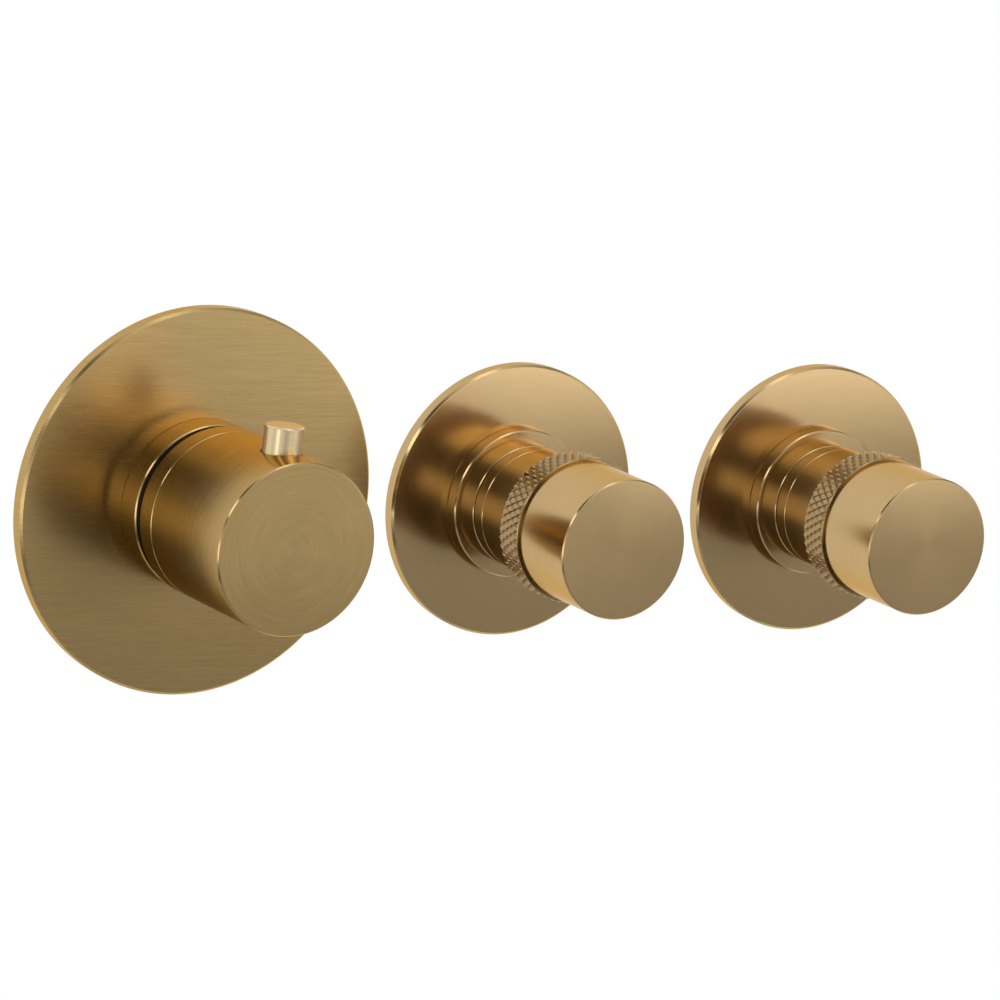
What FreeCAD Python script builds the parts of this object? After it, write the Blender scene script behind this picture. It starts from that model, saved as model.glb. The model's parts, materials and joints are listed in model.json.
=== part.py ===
import FreeCAD, Part
import math
import os

# Concealed thermostatic shower valve: a thermostat and two stop valves in a level row.
#
# Row frame, millimetres: +X to the right seen from the room, +Y into the wall, +Z up.
# The origin is the centre of the mounting rail's back face, in the middle of its fixing holes.
#
# Each valve is drawn about its own turning axis. A drawing's +Z is the height in front of
# the finished wall (negative inside the wall), and its +Y becomes the row's +Z.
# set_in_row() then turns and moves a drawing to its place.

# ---- the row and the wall ----
PITCH = 112.0                  # between neighbouring valve axes
WALL_DEPTH = 78.0              # mounting rail's back face to the finished wall
RAIL_THICKNESS = 3.0
RAIL_HEIGHT = 60.0
RAIL_OVERHANG = 30.0           # rail beyond the outer valve axes
RAIL_CORNER = 8.0
FIXING_ROW_GAP = 44.0          # between the upper and lower wall fixing holes
FIXING_HOLE_RADIUS = 3.25
GALLERY_OFFSET = 15.0          # mixed water gallery axis in front of the rail

# ---- clearances and edges ----
SLIP = 0.1                     # pieces of one body that push together
RUN = 0.05                     # turning and sliding fits
CLEAR = 0.35                   # moving pieces that must never touch
EDGE = 0.4                     # turned edges that show
FINE_EDGE = 0.25               # small turned edges
BEYOND = 1.0                   # cuts start this far outside what they cut

# ---- thermostat, room side ----
TH_ROSETTE_RADIUS = 60.0
TH_ROSETTE_THICKNESS = 5.0
TH_ROSETTE_BEVEL = 0.8
TH_COLLAR_RADIUS = 26.2
TH_COLLAR_HEIGHT = 9.0
TH_KNOB_RADIUS = 26.5
TH_KNOB_GAP = 3.3              # collar to knob, where the stop ring shows
TH_BASE_RING_LENGTH = 7.3
TH_KNOB_LENGTH = 41.4          # from the seam to the front face
TH_KNOB_WALL = 4.0
TH_KNOB_FACE = 4.0
BASE_RING_LIP = 1.7            # base ring's bore inside the knob's
BASE_RING_SPIGOT = 5.475       # its spigot inside the knob
STOP_RING_INSET = 1.8          # stop ring's rim inside the knob's
STOP_RING_THICKNESS = 2.4
STOP_LUG_HEIGHT = 3.0
STOP_LUG_WIDTH = 7.0
STOP_LUG_ANGLE = 24.0          # from the safety catch, towards hotter
STOP_HUB_WALL = 4.0
LINER_WALL = 1.6               # tubes that reach back from the collar and the raised discs
LINER_OVERLAP = 4.0            # collar's tube over the housing's neck

# ---- safety button ----
BUTTON_RADIUS = 6.0
BUTTON_PROUD = 7.9             # its top above the knob's surface
BUTTON_SETBACK = 15.0          # its axis behind the knob's front face
BUTTON_TRAVEL = 2.5
BUTTON_FLANGE = 1.2            # flange wider than the head, and its thickness
BUTTON_STEM_RADIUS = 2.5
CATCH_THICKNESS = 1.8
CATCH_WIDTH = 6.0
BUTTON_SPRING_ROOM = 1.4       # spring's radius outside the button's stem

# ---- temperature drive ----
SNOUT_RADIUS = 8.5
SNOUT_HEIGHT = 12.0
SPINDLE_RADIUS = 4.5
SPLINE_RADIUS = 4.1
SPLINE_START = 20.0
SPLINE_LENGTH = 26.0
TH_HUB_RADIUS = 10.0
TH_INSERT_FLANGE = 5.0
DRIVE_THREAD_RADIUS = 5.5
DRIVE_THREAD_LENGTH = 7.5
DRIVE_NUT_RADIUS = 9.0
DRIVE_NUT_LENGTH = 5.0
DRIVE_NUT_START = 0.6          # thread below the nut when the knob is at rest
DRIVE_KEY_WIDTH = 3.0
DRIVE_KEY_LENGTH = 4.0
SHOULDER = 1.5                 # spindle's shoulder, its height and its width

# ---- thermostat housing and cartridge ----
TH_BARREL_RADIUS = 25.0
TH_NECK_RADIUS = 20.2
TH_NECK_LENGTH = 14.0
NECK_BELOW_WALL = 10.0         # housing necks end this far inside the wall
HOUSING_FLOOR = 5.0
CARTRIDGE_BORE = 15.8
CARTRIDGE_WALL = 3.2
CARTRIDGE_FLANGE_RADIUS = 17.2
CARTRIDGE_FLANGE = 2.5
CARTRIDGE_CROWN = 5.0
CARTRIDGE_LIP = 1.5            # lip at its foot that carries the return spring
CARTRIDGE_TOP_BELOW_NECK = 5.0
CARTRIDGE_TAIL = 2.0           # sleeve beyond its lowest window
CARTRIDGE_NECK_WALL = 1.0      # sleeve's neck outside its snout
CARTRIDGE_NUT_HEAD = 5.0
CARTRIDGE_NUT_STEP = 2.0       # nut's flats inside its thread
COLD_ABOVE_GALLERY = 15.0
HOT_ABOVE_COLD = 14.0
WATER_GROOVE_DEPTH = 2.7
WINDOW_HEIGHT = 6.0
WINDOW_WIDTH = 8.0
RING_GROOVE_WIDTH = 2.0
RING_GROOVE_DEPTH = 1.2
SHUTTLE_RING = 3.4
SHUTTLE_WEB = 2.0
SHUTTLE_UNDERCUT = 1.0         # web's rim inside the ring's outside
SHUTTLE_FLOW_RADIUS = 1.4
SHUTTLE_FLOW_HOLES = 8
WATER_OPENING = 1.0            # windows left open to both waters in mid travel
ELEMENT_RADIUS = 4.0
ELEMENT_LENGTH = 21.0
ELEMENT_FLANGE = 1.2           # its width and its thickness
OVERLOAD_SPRING_ROOM = 2.2     # spring's radius outside the element
PLUNGER_RADIUS = 1.5
PLUNGER_REACH = 3.0            # plunger inside the spindle's hollow foot
PLUNGER_ROOM = 2.5             # hollow left above it for its travel

# ---- inlets, outlets and check valves ----
PORT_RADIUS = 9.3              # half inch pipe thread, at its minor diameter
PORT_LENGTH = 14.0
PORT_BOSS_RADIUS = 14.0
INLET_REACH = 56.0             # inlet mouths from the thermostat's axis
OUTLET_REACH = 38.0            # outlet mouths from the stop valves' axes
PASSAGE_RADIUS = 6.0
CHECK_BORE = 8.7
CHECK_LENGTH = 12.4
CHECK_WALL = 2.4
CHECK_SEAT_RADIUS = 4.5
CHECK_SEAT = 2.0
CHECK_SPIDER = 1.9
POPPET_RADIUS = 5.6
POPPET_HEAD = 1.55
POPPET_STEM_RADIUS = 1.5
POPPET_SPRING_ROOM = 1.2       # spring's radius outside the stem
CHECK_FLOW_RADIUS = 1.3
CHECK_FLOW_HOLES = 6
STRAINER_THICKNESS = 1.4
STRAINER_HOLE_RADIUS = 0.8

# ---- gallery ----
GALLERY_TUBE_RADIUS = 8.0
GALLERY_TUBE_WALL = 1.5
UNION_RADIUS = 10.5
UNION_LENGTH = 9.0
UNION_SOCKET = 7.0
UNION_NUT_FLATS = 24.0
UNION_NUT_LENGTH = 12.0
UNION_NUT_LIP = 4.0
UNION_SHOULDER = 1.0           # stub's step behind its thread
TH_UNION_REACH = 38.0
ST_UNION_REACH = 32.0

# ---- stop valves, room side ----
ST_ROSETTE_RADIUS = 43.0
ST_ROSETTE_THICKNESS = 4.5
ST_ROSETTE_BEVEL = 0.7
ST_DISC_RADIUS = 23.4
ST_DISC_HEIGHT = 4.6
ST_STEM_RADIUS = 19.2
ST_COVER_HEIGHT = 3.9
ST_GROOVE = 0.6                # dark groove between cover sleeve and handle stem
ST_STEP_HEIGHT = 4.6           # fine line round the handle stem
ST_STEP_DEPTH = 0.2
ST_STEM_LENGTH = 20.9
ST_KNURL_RADIUS = 23.0
ST_KNURL_WIDTH = 10.5
ST_KNURL_EDGE = 0.6
ST_KNOB_GAP = 0.4
ST_KNOB_RADIUS = 21.8
ST_KNOB_LENGTH = 24.6
ST_KNOB_FACE = 4.0
ST_CORE_RADIUS = 16.9          # the stem's core, which carries the knurled ring and the knob
ST_CORE_WALL = 3.9
ST_CORE_FIT = 0.9              # fixed sleeve's bore inside the core
ST_NECK_STEP = 1.0             # knob's neck inside its side
ST_SLEEVE_WALL = 2.0

# ---- stop valves, inside ----
ST_BARREL_RADIUS = 21.0
ST_NECK_RADIUS = 13.5
ST_NECK_LENGTH = 16.0
ST_CHAMBER_RADIUS = 12.0
ST_PARTITION = 4.0             # wall between the gallery chamber and the seat
HEADWORK_RADIUS = 9.0
HEADWORK_REACH = 30.0          # headwork from the neck's mouth down to its seat
HEADWORK_HEX_FLATS = 22.0
HEADWORK_HEX = 6.5
HEADWORK_SNOUT_RADIUS = 8.0
HEADWORK_SNOUT_HEIGHT = 8.0
HEADWORK_CAGE_WALL = 0.8
DISC_THICKNESS = 2.9
DISC_PORT_REACH = 5.4
DISC_PORT_RADIUS = 2.0
SEAT_PORT_STEP = 2.0           # seat's port inside the headwork's bore
SEAT_RECESS = 1.0
OUTLET_ROOF = 1.5              # chamber above the outlet passage
DRIVER_LENGTH = 6.0
DRIVER_STEP = 2.0              # driver inside the cage's bore
SEAT_SEAL = 1.4
SEAT_SEAL_STEP = 1.0           # seal's rim inside the neck's
OUTLET_ABOVE_SEAT = 8.0
ST_INSERT_START = 22.0
ST_INSERT_LENGTH = 18.0

# ---- seals, screws and springs ----
ROSETTE_RECESS = 2.5           # hollow behind each rosette
ROSETTE_RIM = 5.0
ROSETTE_SEAL_WIDTH = 7.0
GRUB_RADIUS = 2.0
GRUB_LENGTH = 5.4
GRUB_SOCKET_RADIUS = 1.1
RAIL_SCREW_RADIUS = 2.5
RAIL_SCREW_LENGTH = 9.0
RAIL_SCREW_WALL = 2.0          # metal between a rail screw and the housing's bore
RAIL_SCREW_SOCKET = 3.0
RAIL_SCREW_SOCKET_DEPTH = 2.0
SPRING_WIRE = 0.4              # radius of the button's and the cartridge's spring wire
FINE_WIRE = 0.2                # radius of the check valve springs' wire
WIRE_SIDES = 8
SPRING_TURNS = 5
RETURN_SPRING_TURNS = 3

# ---- places worked out from these ----
LEFT, MIDDLE, RIGHT = -PITCH, 0.0, PITCH
RAIL_FRONT = RAIL_THICKNESS - WALL_DEPTH
GALLERY = RAIL_FRONT + GALLERY_OFFSET
CHAMBER_FLOOR = RAIL_FRONT + HOUSING_FLOOR
NECK_TOP = -NECK_BELOW_WALL

COLLAR_TOP = TH_ROSETTE_THICKNESS + TH_COLLAR_HEIGHT
COLLAR_BORE = TH_NECK_RADIUS + SLIP
COLLAR_LINER = COLLAR_BORE + LINER_WALL
KNOB_BACK = COLLAR_TOP + TH_KNOB_GAP
SEAM = KNOB_BACK + TH_BASE_RING_LENGTH
KNOB_FRONT = SEAM + TH_KNOB_LENGTH
TH_KNOB_BORE = TH_KNOB_RADIUS - TH_KNOB_WALL
BASE_RING_BORE = TH_KNOB_BORE - BASE_RING_LIP
SPIGOT_TOP = SEAM + BASE_RING_SPIGOT
INSERT_FLANGE_TOP = SPIGOT_TOP + TH_INSERT_FLANGE
BUTTON_HEIGHT = KNOB_FRONT - BUTTON_SETBACK
BUTTON_TOP = TH_KNOB_RADIUS + BUTTON_PROUD
BUTTON_FLANGE_RADIUS = BUTTON_RADIUS + BUTTON_FLANGE
BUTTON_FLANGE_TOP = math.sqrt(TH_KNOB_BORE**2 - BUTTON_FLANGE_RADIUS**2) - CLEAR
CATCH_TOP = BUTTON_FLANGE_TOP - BUTTON_FLANGE
CATCH_UNDER = CATCH_TOP - CATCH_THICKNESS
STOP_RING_TOP = KNOB_BACK - 2 * CLEAR
COLD = GALLERY + COLD_ABOVE_GALLERY
HOT = COLD + HOT_ABOVE_COLD
TH_NECK_START = NECK_TOP - TH_NECK_LENGTH
CARTRIDGE_TOP = NECK_TOP - CARTRIDGE_TOP_BELOW_NECK
CROWN_UNDER = CARTRIDGE_TOP - CARTRIDGE_CROWN
FLANGE_TOP = CROWN_UNDER + CARTRIDGE_FLANGE
CARTRIDGE_FOOT = COLD - WINDOW_HEIGHT - CARTRIDGE_TAIL
CARTRIDGE_RADIUS = CARTRIDGE_BORE - SLIP
CARTRIDGE_INNER = CARTRIDGE_RADIUS - CARTRIDGE_WALL
RING_LEVELS = (COLD - WINDOW_HEIGHT, (COLD + HOT) / 2, HOT + WINDOW_HEIGHT)
SHUTTLE_RADIUS = CARTRIDGE_INNER - RUN
SHUTTLE_LENGTH = HOT_ABOVE_COLD - WINDOW_HEIGHT - WATER_OPENING
SHUTTLE_FOOT = (COLD + HOT) / 2 - SHUTTLE_LENGTH / 2
WEB_FOOT = (COLD + HOT) / 2 - SHUTTLE_WEB / 2
WEB_TOP = WEB_FOOT + SHUTTLE_WEB
THREAD_TOP = CROWN_UNDER - SHOULDER
THREAD_FOOT = THREAD_TOP - DRIVE_THREAD_LENGTH
DRIVE_NUT_FOOT = THREAD_FOOT + DRIVE_NUT_START
CHECK_FLOOR = INLET_REACH - PORT_LENGTH - CHECK_LENGTH - STRAINER_THICKNESS
CHECK_RADIUS = CHECK_BORE - SLIP
CHECK_INNER = CHECK_RADIUS - CHECK_WALL
CHECK_TOP = CHECK_FLOOR + CHECK_LENGTH
CHECK_SEAT_UNDER = CHECK_TOP - 2 * CHECK_SEAT
POPPET_TOP = CHECK_SEAT_UNDER - RUN

DISC_TOP = ST_ROSETTE_THICKNESS + ST_DISC_HEIGHT
COVER_TOP = DISC_TOP + ST_COVER_HEIGHT
STEM_FOOT = COVER_TOP + ST_GROOVE
STEM_TOP = STEM_FOOT + ST_STEM_LENGTH
KNURL_TOP = STEM_TOP + ST_KNURL_WIDTH
ST_KNOB_FOOT = KNURL_TOP + ST_KNOB_GAP
ST_KNOB_FRONT = ST_KNOB_FOOT + ST_KNOB_LENGTH
ST_CORE_TOP = ST_KNOB_FRONT - ST_KNOB_FACE - ST_KNOB_FACE
ST_CORE_BORE = ST_CORE_RADIUS - ST_CORE_WALL
ST_DISC_BORE = ST_CORE_RADIUS - ST_CORE_FIT
ST_DISC_LINER = ST_DISC_BORE + LINER_WALL
SEAT = NECK_TOP - HEADWORK_REACH
ST_NECK_START = NECK_TOP - ST_NECK_LENGTH
OUTLET = SEAT + OUTLET_ABOVE_SEAT
OUTLET_CHAMBER_TOP = OUTLET + PASSAGE_RADIUS + OUTLET_ROOF
SEAT_PORT = HEADWORK_RADIUS - SEAT_PORT_STEP
FIXED_DISC_TOP = SEAT + DISC_THICKNESS
TURNING_DISC_FOOT = FIXED_DISC_TOP + RUN
TURNING_DISC_TOP = TURNING_DISC_FOOT + DISC_THICKNESS
CAGE_BORE = HEADWORK_RADIUS - HEADWORK_CAGE_WALL
DRIVER_TOP = TURNING_DISC_TOP + DRIVER_LENGTH
SPLINE_TOP = ST_INSERT_START + ST_INSERT_LENGTH

ORIGIN = FreeCAD.Vector(0, 0, 0)
X_AXIS = FreeCAD.Vector(1, 0, 0)
Y_AXIS = FreeCAD.Vector(0, 1, 0)
Z_AXIS = FreeCAD.Vector(0, 0, 1)
FULL_TURN = 360.0
TO_RIGHT, TO_TOP, TO_LEFT, TO_BOTTOM = 0.0, 90.0, 180.0, 270.0


# ---- drawing ----

def turned(corners):
    """Solid of revolution about the drawing's axis, from (radius, height) corners."""
    points = [FreeCAD.Vector(radius, 0, height) for radius, height in corners]
    outline = Part.makePolygon(points + points[:1])
    return Part.Face(outline).revolve(ORIGIN, Z_AXIS, FULL_TURN)


def tube(outer, inner, low, high, low_edge=0.0, high_edge=0.0):
    """Tube with its outer edges chamfered; an inner radius of 0 makes a solid rod."""
    corners = [(inner, low), (outer - low_edge, low)]
    if low_edge:
        corners.append((outer, low + low_edge))
    if high_edge:
        corners.append((outer, high - high_edge))
    corners += [(outer - high_edge, high), (inner, high)]
    return turned(corners)


def rod(radius, low, high, low_edge=0.0, high_edge=0.0):
    return tube(radius, 0.0, low, high, low_edge, high_edge)


def hexagon(flats, low, high):
    corner = flats / math.sqrt(3)
    points = [FreeCAD.Vector(corner * math.cos(math.radians(angle)),
                             corner * math.sin(math.radians(angle)), low)
              for angle in range(0, 361, 60)]
    return Part.Face(Part.makePolygon(points)).extrude(Z_AXIS * (high - low))


def block(size_x, size_y, low, high):
    """Box centred on the drawing's axis."""
    corner = FreeCAD.Vector(-size_x / 2, -size_y / 2, low)
    return Part.makeBox(size_x, size_y, high - low, corner)


def coil(radius, wire, low, high, turns):
    """Open coil spring whose many-sided wire lies between the two heights."""
    rise = high - low - 2 * wire
    path = Part.makeHelix(rise / turns, rise, radius)
    corners = []
    for side in range(WIRE_SIDES + 1):
        angle = 2 * math.pi * side / WIRE_SIDES
        corners.append(FreeCAD.Vector(radius + wire * math.cos(angle), 0, wire * math.sin(angle)))
    spring = Part.Wire(path).makePipeShell([Part.makePolygon(corners)], True, True)
    spring.translate(Z_AXIS * (low + wire))
    return spring


def o_ring(bore, groove_floor, height):
    """O-ring that fills the space between a groove's floor and the bore round it."""
    section = (bore - groove_floor) / 2
    ring = Part.makeTorus(groove_floor + section, section - FINE_EDGE / 10)
    ring.translate(Z_AXIS * height)
    return ring


def sideways(shape, angle, height=0.0):
    """Point a drawing's axis outwards from the valve axis, at an angle from the right."""
    moved = shape.copy()
    moved.rotate(ORIGIN, Y_AXIS, 90)
    moved.rotate(ORIGIN, Z_AXIS, angle)
    moved.translate(Z_AXIS * height)
    return moved


def around(shape, count, start=0.0):
    """Copies of a drawing, evenly spaced round the valve axis."""
    copies = []
    for index in range(count):
        copy = shape.copy()
        copy.rotate(ORIGIN, Z_AXIS, start + index * FULL_TURN / count)
        copies.append(copy)
    return copies


def offset(shape, x=0.0, y=0.0, z=0.0):
    moved = shape.copy()
    moved.translate(FreeCAD.Vector(x, y, z))
    return moved


def joined(*shapes):
    return shapes[0].multiFuse(list(shapes[1:])).removeSplitter()


def set_in_row(shape, x):
    """Turn a valve's drawing to face the room, and move it to its axis in the row."""
    placed = shape.copy()
    placed.rotate(ORIGIN, X_AXIS, 90)
    placed.translate(FreeCAD.Vector(x, -WALL_DEPTH, 0))
    return placed


# ---- pieces that both kinds of valve have ----

def rosette(radius, thickness, bevel, bore):
    """Flat round plate, hollow behind, with a seat for its seal."""
    recess_radius = radius - ROSETTE_RIM
    hub = bore + ROSETTE_RIM
    plate = tube(radius, bore, 0.0, thickness, FINE_EDGE, bevel)
    return plate.cut(tube(recess_radius, hub, -BEYOND, ROSETTE_RECESS))


def rosette_seal(radius):
    outer = radius - ROSETTE_RIM - SLIP
    return tube(outer, outer - ROSETTE_SEAL_WIDTH, 0.0, ROSETTE_RECESS)


def grub_screw(tip):
    """Set screw with a hexagon socket; its tip is this far from the valve axis."""
    screw = rod(GRUB_RADIUS, tip, tip + GRUB_LENGTH, FINE_EDGE)
    socket = hexagon(2 * GRUB_SOCKET_RADIUS, tip + GRUB_LENGTH / 2, tip + GRUB_LENGTH + BEYOND)
    return screw.cut(socket)


def grub_hole(tip, height, outside):
    return sideways(rod(GRUB_RADIUS + SLIP, tip, outside), TO_BOTTOM, height)


def pipe_port(reach, depth, angle, height):
    """Boss for a pipe port, and the hollow to cut in it: thread, bore and passage."""
    boss = rod(PORT_BOSS_RADIUS, 0.0, reach, 0.0, EDGE)
    thread_floor = reach - PORT_LENGTH
    hollow = joined(rod(PORT_RADIUS, thread_floor, reach + BEYOND),
                    rod(CHECK_BORE, depth, thread_floor + BEYOND),
                    rod(PASSAGE_RADIUS, 0.0, depth + BEYOND))
    return sideways(boss, angle, height), sideways(hollow, angle, height)


def union(reach, angle):
    """Threaded stub for a gallery tube, and its hollow with the tube's socket."""
    stub = joined(rod(UNION_RADIUS + UNION_SHOULDER, 0.0, reach - UNION_LENGTH),
                  rod(UNION_RADIUS, 0.0, reach, 0.0, EDGE))
    hollow = joined(rod(GALLERY_TUBE_RADIUS - GALLERY_TUBE_WALL, 0.0, reach),
                    rod(GALLERY_TUBE_RADIUS + SLIP, reach - UNION_SOCKET, reach + BEYOND))
    return sideways(stub, angle, GALLERY), sideways(hollow, angle, GALLERY)


def rail_screw_circle(bore):
    return bore + RAIL_SCREW_WALL + RAIL_SCREW_RADIUS


def rail_screw_holes(bore):
    hole = rod(RAIL_SCREW_RADIUS + SLIP, -WALL_DEPTH, RAIL_SCREW_LENGTH - WALL_DEPTH + BEYOND)
    reach = rail_screw_circle(bore)
    return [offset(hole, y=reach), offset(hole, y=-reach)]


# ---- thermostat: fixed pieces ----

def thermostat_housing():
    hot_boss, hot_hollow = pipe_port(INLET_REACH, CHECK_FLOOR, TO_LEFT, HOT)
    cold_boss, cold_hollow = pipe_port(INLET_REACH, CHECK_FLOOR, TO_BOTTOM, COLD)
    stub, stub_hollow = union(TH_UNION_REACH, TO_RIGHT)
    body = joined(rod(TH_BARREL_RADIUS, RAIL_FRONT, TH_NECK_START, EDGE, EDGE),
                  rod(TH_NECK_RADIUS, TH_NECK_START, NECK_TOP, 0.0, EDGE),
                  hot_boss, cold_boss, stub)
    bore = joined(rod(CARTRIDGE_BORE, CHAMBER_FLOOR, NECK_TOP + BEYOND),
                  rod(CARTRIDGE_FLANGE_RADIUS + SLIP, CROWN_UNDER, NECK_TOP + BEYOND))
    groove_radius = CARTRIDGE_BORE + WATER_GROOVE_DEPTH
    half_window = WINDOW_HEIGHT / 2
    grooves = [rod(groove_radius, level - half_window, level + half_window)
               for level in (COLD, HOT)]
    return body.cut(joined(bore, *grooves, hot_hollow, cold_hollow, stub_hollow,
                           *rail_screw_holes(CARTRIDGE_BORE)))


def cartridge_sleeve():
    """Sleeve with its hot and cold windows, ring grooves, flange and snout."""
    foot_lip = CARTRIDGE_INNER - CARTRIDGE_WALL
    neck = SNOUT_RADIUS + CARTRIDGE_NECK_WALL
    body = turned([(foot_lip, CARTRIDGE_FOOT), (CARTRIDGE_RADIUS, CARTRIDGE_FOOT),
                   (CARTRIDGE_RADIUS, CROWN_UNDER), (CARTRIDGE_FLANGE_RADIUS, CROWN_UNDER),
                   (CARTRIDGE_FLANGE_RADIUS, FLANGE_TOP), (neck, FLANGE_TOP),
                   (neck, CARTRIDGE_TOP), (SNOUT_RADIUS, CARTRIDGE_TOP),
                   (SNOUT_RADIUS, SNOUT_HEIGHT), (SPINDLE_RADIUS + RUN, SNOUT_HEIGHT),
                   (SPINDLE_RADIUS + RUN, CROWN_UNDER), (CARTRIDGE_INNER, CROWN_UNDER),
                   (CARTRIDGE_INNER, CARTRIDGE_FOOT + CARTRIDGE_LIP),
                   (foot_lip, CARTRIDGE_FOOT + CARTRIDGE_LIP)])
    cuts = []
    half_window = WINDOW_HEIGHT / 2
    for level in (COLD, HOT):
        window = block(WINDOW_WIDTH, 3 * CARTRIDGE_BORE, level - half_window, level + half_window)
        cuts += [window, turned_quarter(window)]
    for level in RING_LEVELS:
        half = RING_GROOVE_WIDTH / 2
        cuts.append(tube(CARTRIDGE_BORE, CARTRIDGE_RADIUS - RING_GROOVE_DEPTH,
                         level - half, level + half))
    return body.cut(joined(*cuts))


def turned_quarter(shape):
    turned_shape = shape.copy()
    turned_shape.rotate(ORIGIN, Z_AXIS, 90)
    return turned_shape


def cartridge_nut():
    """Retaining nut: a threaded ring below and a hexagon above."""
    bore = SNOUT_RADIUS + CARTRIDGE_NECK_WALL + SLIP
    head_top = NECK_TOP + CARTRIDGE_NUT_HEAD
    ring = tube(CARTRIDGE_FLANGE_RADIUS, bore, FLANGE_TOP, NECK_TOP)
    head = hexagon(2 * (CARTRIDGE_FLANGE_RADIUS - CARTRIDGE_NUT_STEP), NECK_TOP, head_top)
    return joined(ring, head.cut(rod(bore, NECK_TOP - BEYOND, head_top + BEYOND)))


def cartridge_rings():
    floor = CARTRIDGE_RADIUS - RING_GROOVE_DEPTH
    return Part.makeCompound([o_ring(CARTRIDGE_BORE, floor, level) for level in RING_LEVELS])


def thermostat_collar():
    """Collar that stands on the rosette, with the tube that reaches back over the neck."""
    foot = NECK_TOP - LINER_OVERLAP
    return turned([(COLLAR_BORE, foot), (COLLAR_LINER, foot),
                   (COLLAR_LINER, TH_ROSETTE_THICKNESS),
                   (TH_COLLAR_RADIUS - FINE_EDGE, TH_ROSETTE_THICKNESS),
                   (TH_COLLAR_RADIUS, TH_ROSETTE_THICKNESS + FINE_EDGE),
                   (TH_COLLAR_RADIUS, COLLAR_TOP - EDGE),
                   (TH_COLLAR_RADIUS - EDGE, COLLAR_TOP), (COLLAR_BORE, COLLAR_TOP)])


def stop_ring():
    """Ring with the 38 degree lug, set on the cartridge's snout."""
    rim = TH_KNOB_RADIUS - STOP_RING_INSET
    hub = SNOUT_RADIUS + STOP_HUB_WALL
    foot = STOP_RING_TOP - STOP_RING_THICKNESS
    plate = joined(tube(hub, SNOUT_RADIUS + SLIP, CLEAR, STOP_RING_TOP),
                   tube(rim, SPINDLE_RADIUS + CLEAR, foot, STOP_RING_TOP, 0.0, FINE_EDGE))
    plate = plate.cut(rod(SNOUT_RADIUS + SLIP, foot - BEYOND, SNOUT_HEIGHT + SLIP))
    reach = BASE_RING_BORE - 2 * CLEAR
    lug_foot = STOP_RING_TOP - STOP_RING_THICKNESS / 2
    sector = tube(reach, CATCH_UNDER, lug_foot, STOP_RING_TOP + STOP_LUG_HEIGHT)
    bounds = block(2 * reach, STOP_LUG_WIDTH, lug_foot, KNOB_FRONT)
    lug = sector.common(offset(bounds, x=reach))
    lug.rotate(ORIGIN, Z_AXIS, TO_TOP + STOP_LUG_ANGLE)
    return joined(plate, lug)


def check_valve_body():
    """Check valve cage: seat at the mouth, spider with the stem guide at the floor."""
    guide = POPPET_STEM_RADIUS + CLEAR / 2
    seat_top = CHECK_SEAT_UNDER + CHECK_SEAT
    body = turned([(guide, CHECK_FLOOR), (CHECK_RADIUS, CHECK_FLOOR), (CHECK_RADIUS, CHECK_TOP),
                   (CHECK_INNER, CHECK_TOP), (CHECK_INNER, seat_top),
                   (CHECK_SEAT_RADIUS, seat_top), (CHECK_SEAT_RADIUS, CHECK_SEAT_UNDER),
                   (CHECK_INNER, CHECK_SEAT_UNDER), (CHECK_INNER, CHECK_FLOOR + CHECK_SPIDER),
                   (guide, CHECK_FLOOR + CHECK_SPIDER)])
    flow = rod(CHECK_FLOW_RADIUS, CHECK_FLOOR - BEYOND, CHECK_FLOOR + CHECK_SPIDER + BEYOND)
    flow = offset(flow, x=(CHECK_INNER + guide) / 2)
    return body.cut(joined(*around(flow, CHECK_FLOW_HOLES)))


def check_poppet():
    head = rod(POPPET_RADIUS, POPPET_TOP - POPPET_HEAD, POPPET_TOP, FINE_EDGE, FINE_EDGE)
    return joined(head, rod(POPPET_STEM_RADIUS, CHECK_FLOOR, POPPET_TOP - POPPET_HEAD / 2))


def check_spring():
    return coil(POPPET_STEM_RADIUS + POPPET_SPRING_ROOM, FINE_WIRE, CHECK_FLOOR + CHECK_SPIDER,
                POPPET_TOP - POPPET_HEAD, SPRING_TURNS)


def strainer():
    """Perforated disc in front of a check valve."""
    front = CHECK_TOP + STRAINER_THICKNESS
    disc = rod(CHECK_RADIUS, CHECK_TOP, front)
    hole = rod(STRAINER_HOLE_RADIUS, CHECK_TOP - BEYOND, front + BEYOND)
    holes = [hole] + around(offset(hole, x=CHECK_RADIUS / 3), 6)
    holes += around(offset(hole, x=2 * CHECK_RADIUS / 3), 12)
    return disc.cut(joined(*holes))


# ---- thermostat: moving pieces ----

def thermostat_knob():
    cup = turned([(0.0, KNOB_FRONT - TH_KNOB_FACE), (TH_KNOB_BORE, KNOB_FRONT - TH_KNOB_FACE),
                  (TH_KNOB_BORE, SEAM), (TH_KNOB_RADIUS - FINE_EDGE, SEAM),
                  (TH_KNOB_RADIUS, SEAM + FINE_EDGE), (TH_KNOB_RADIUS, KNOB_FRONT - EDGE),
                  (TH_KNOB_RADIUS - EDGE, KNOB_FRONT), (0.0, KNOB_FRONT)])
    button_hole = rod(BUTTON_RADIUS + CLEAR, TH_KNOB_BORE - TH_KNOB_WALL, BUTTON_TOP)
    return cup.cut(sideways(button_hole, TO_TOP, BUTTON_HEIGHT)).cut(
        grub_hole(TH_HUB_RADIUS, GRUB_LEVEL, BUTTON_TOP))


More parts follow.
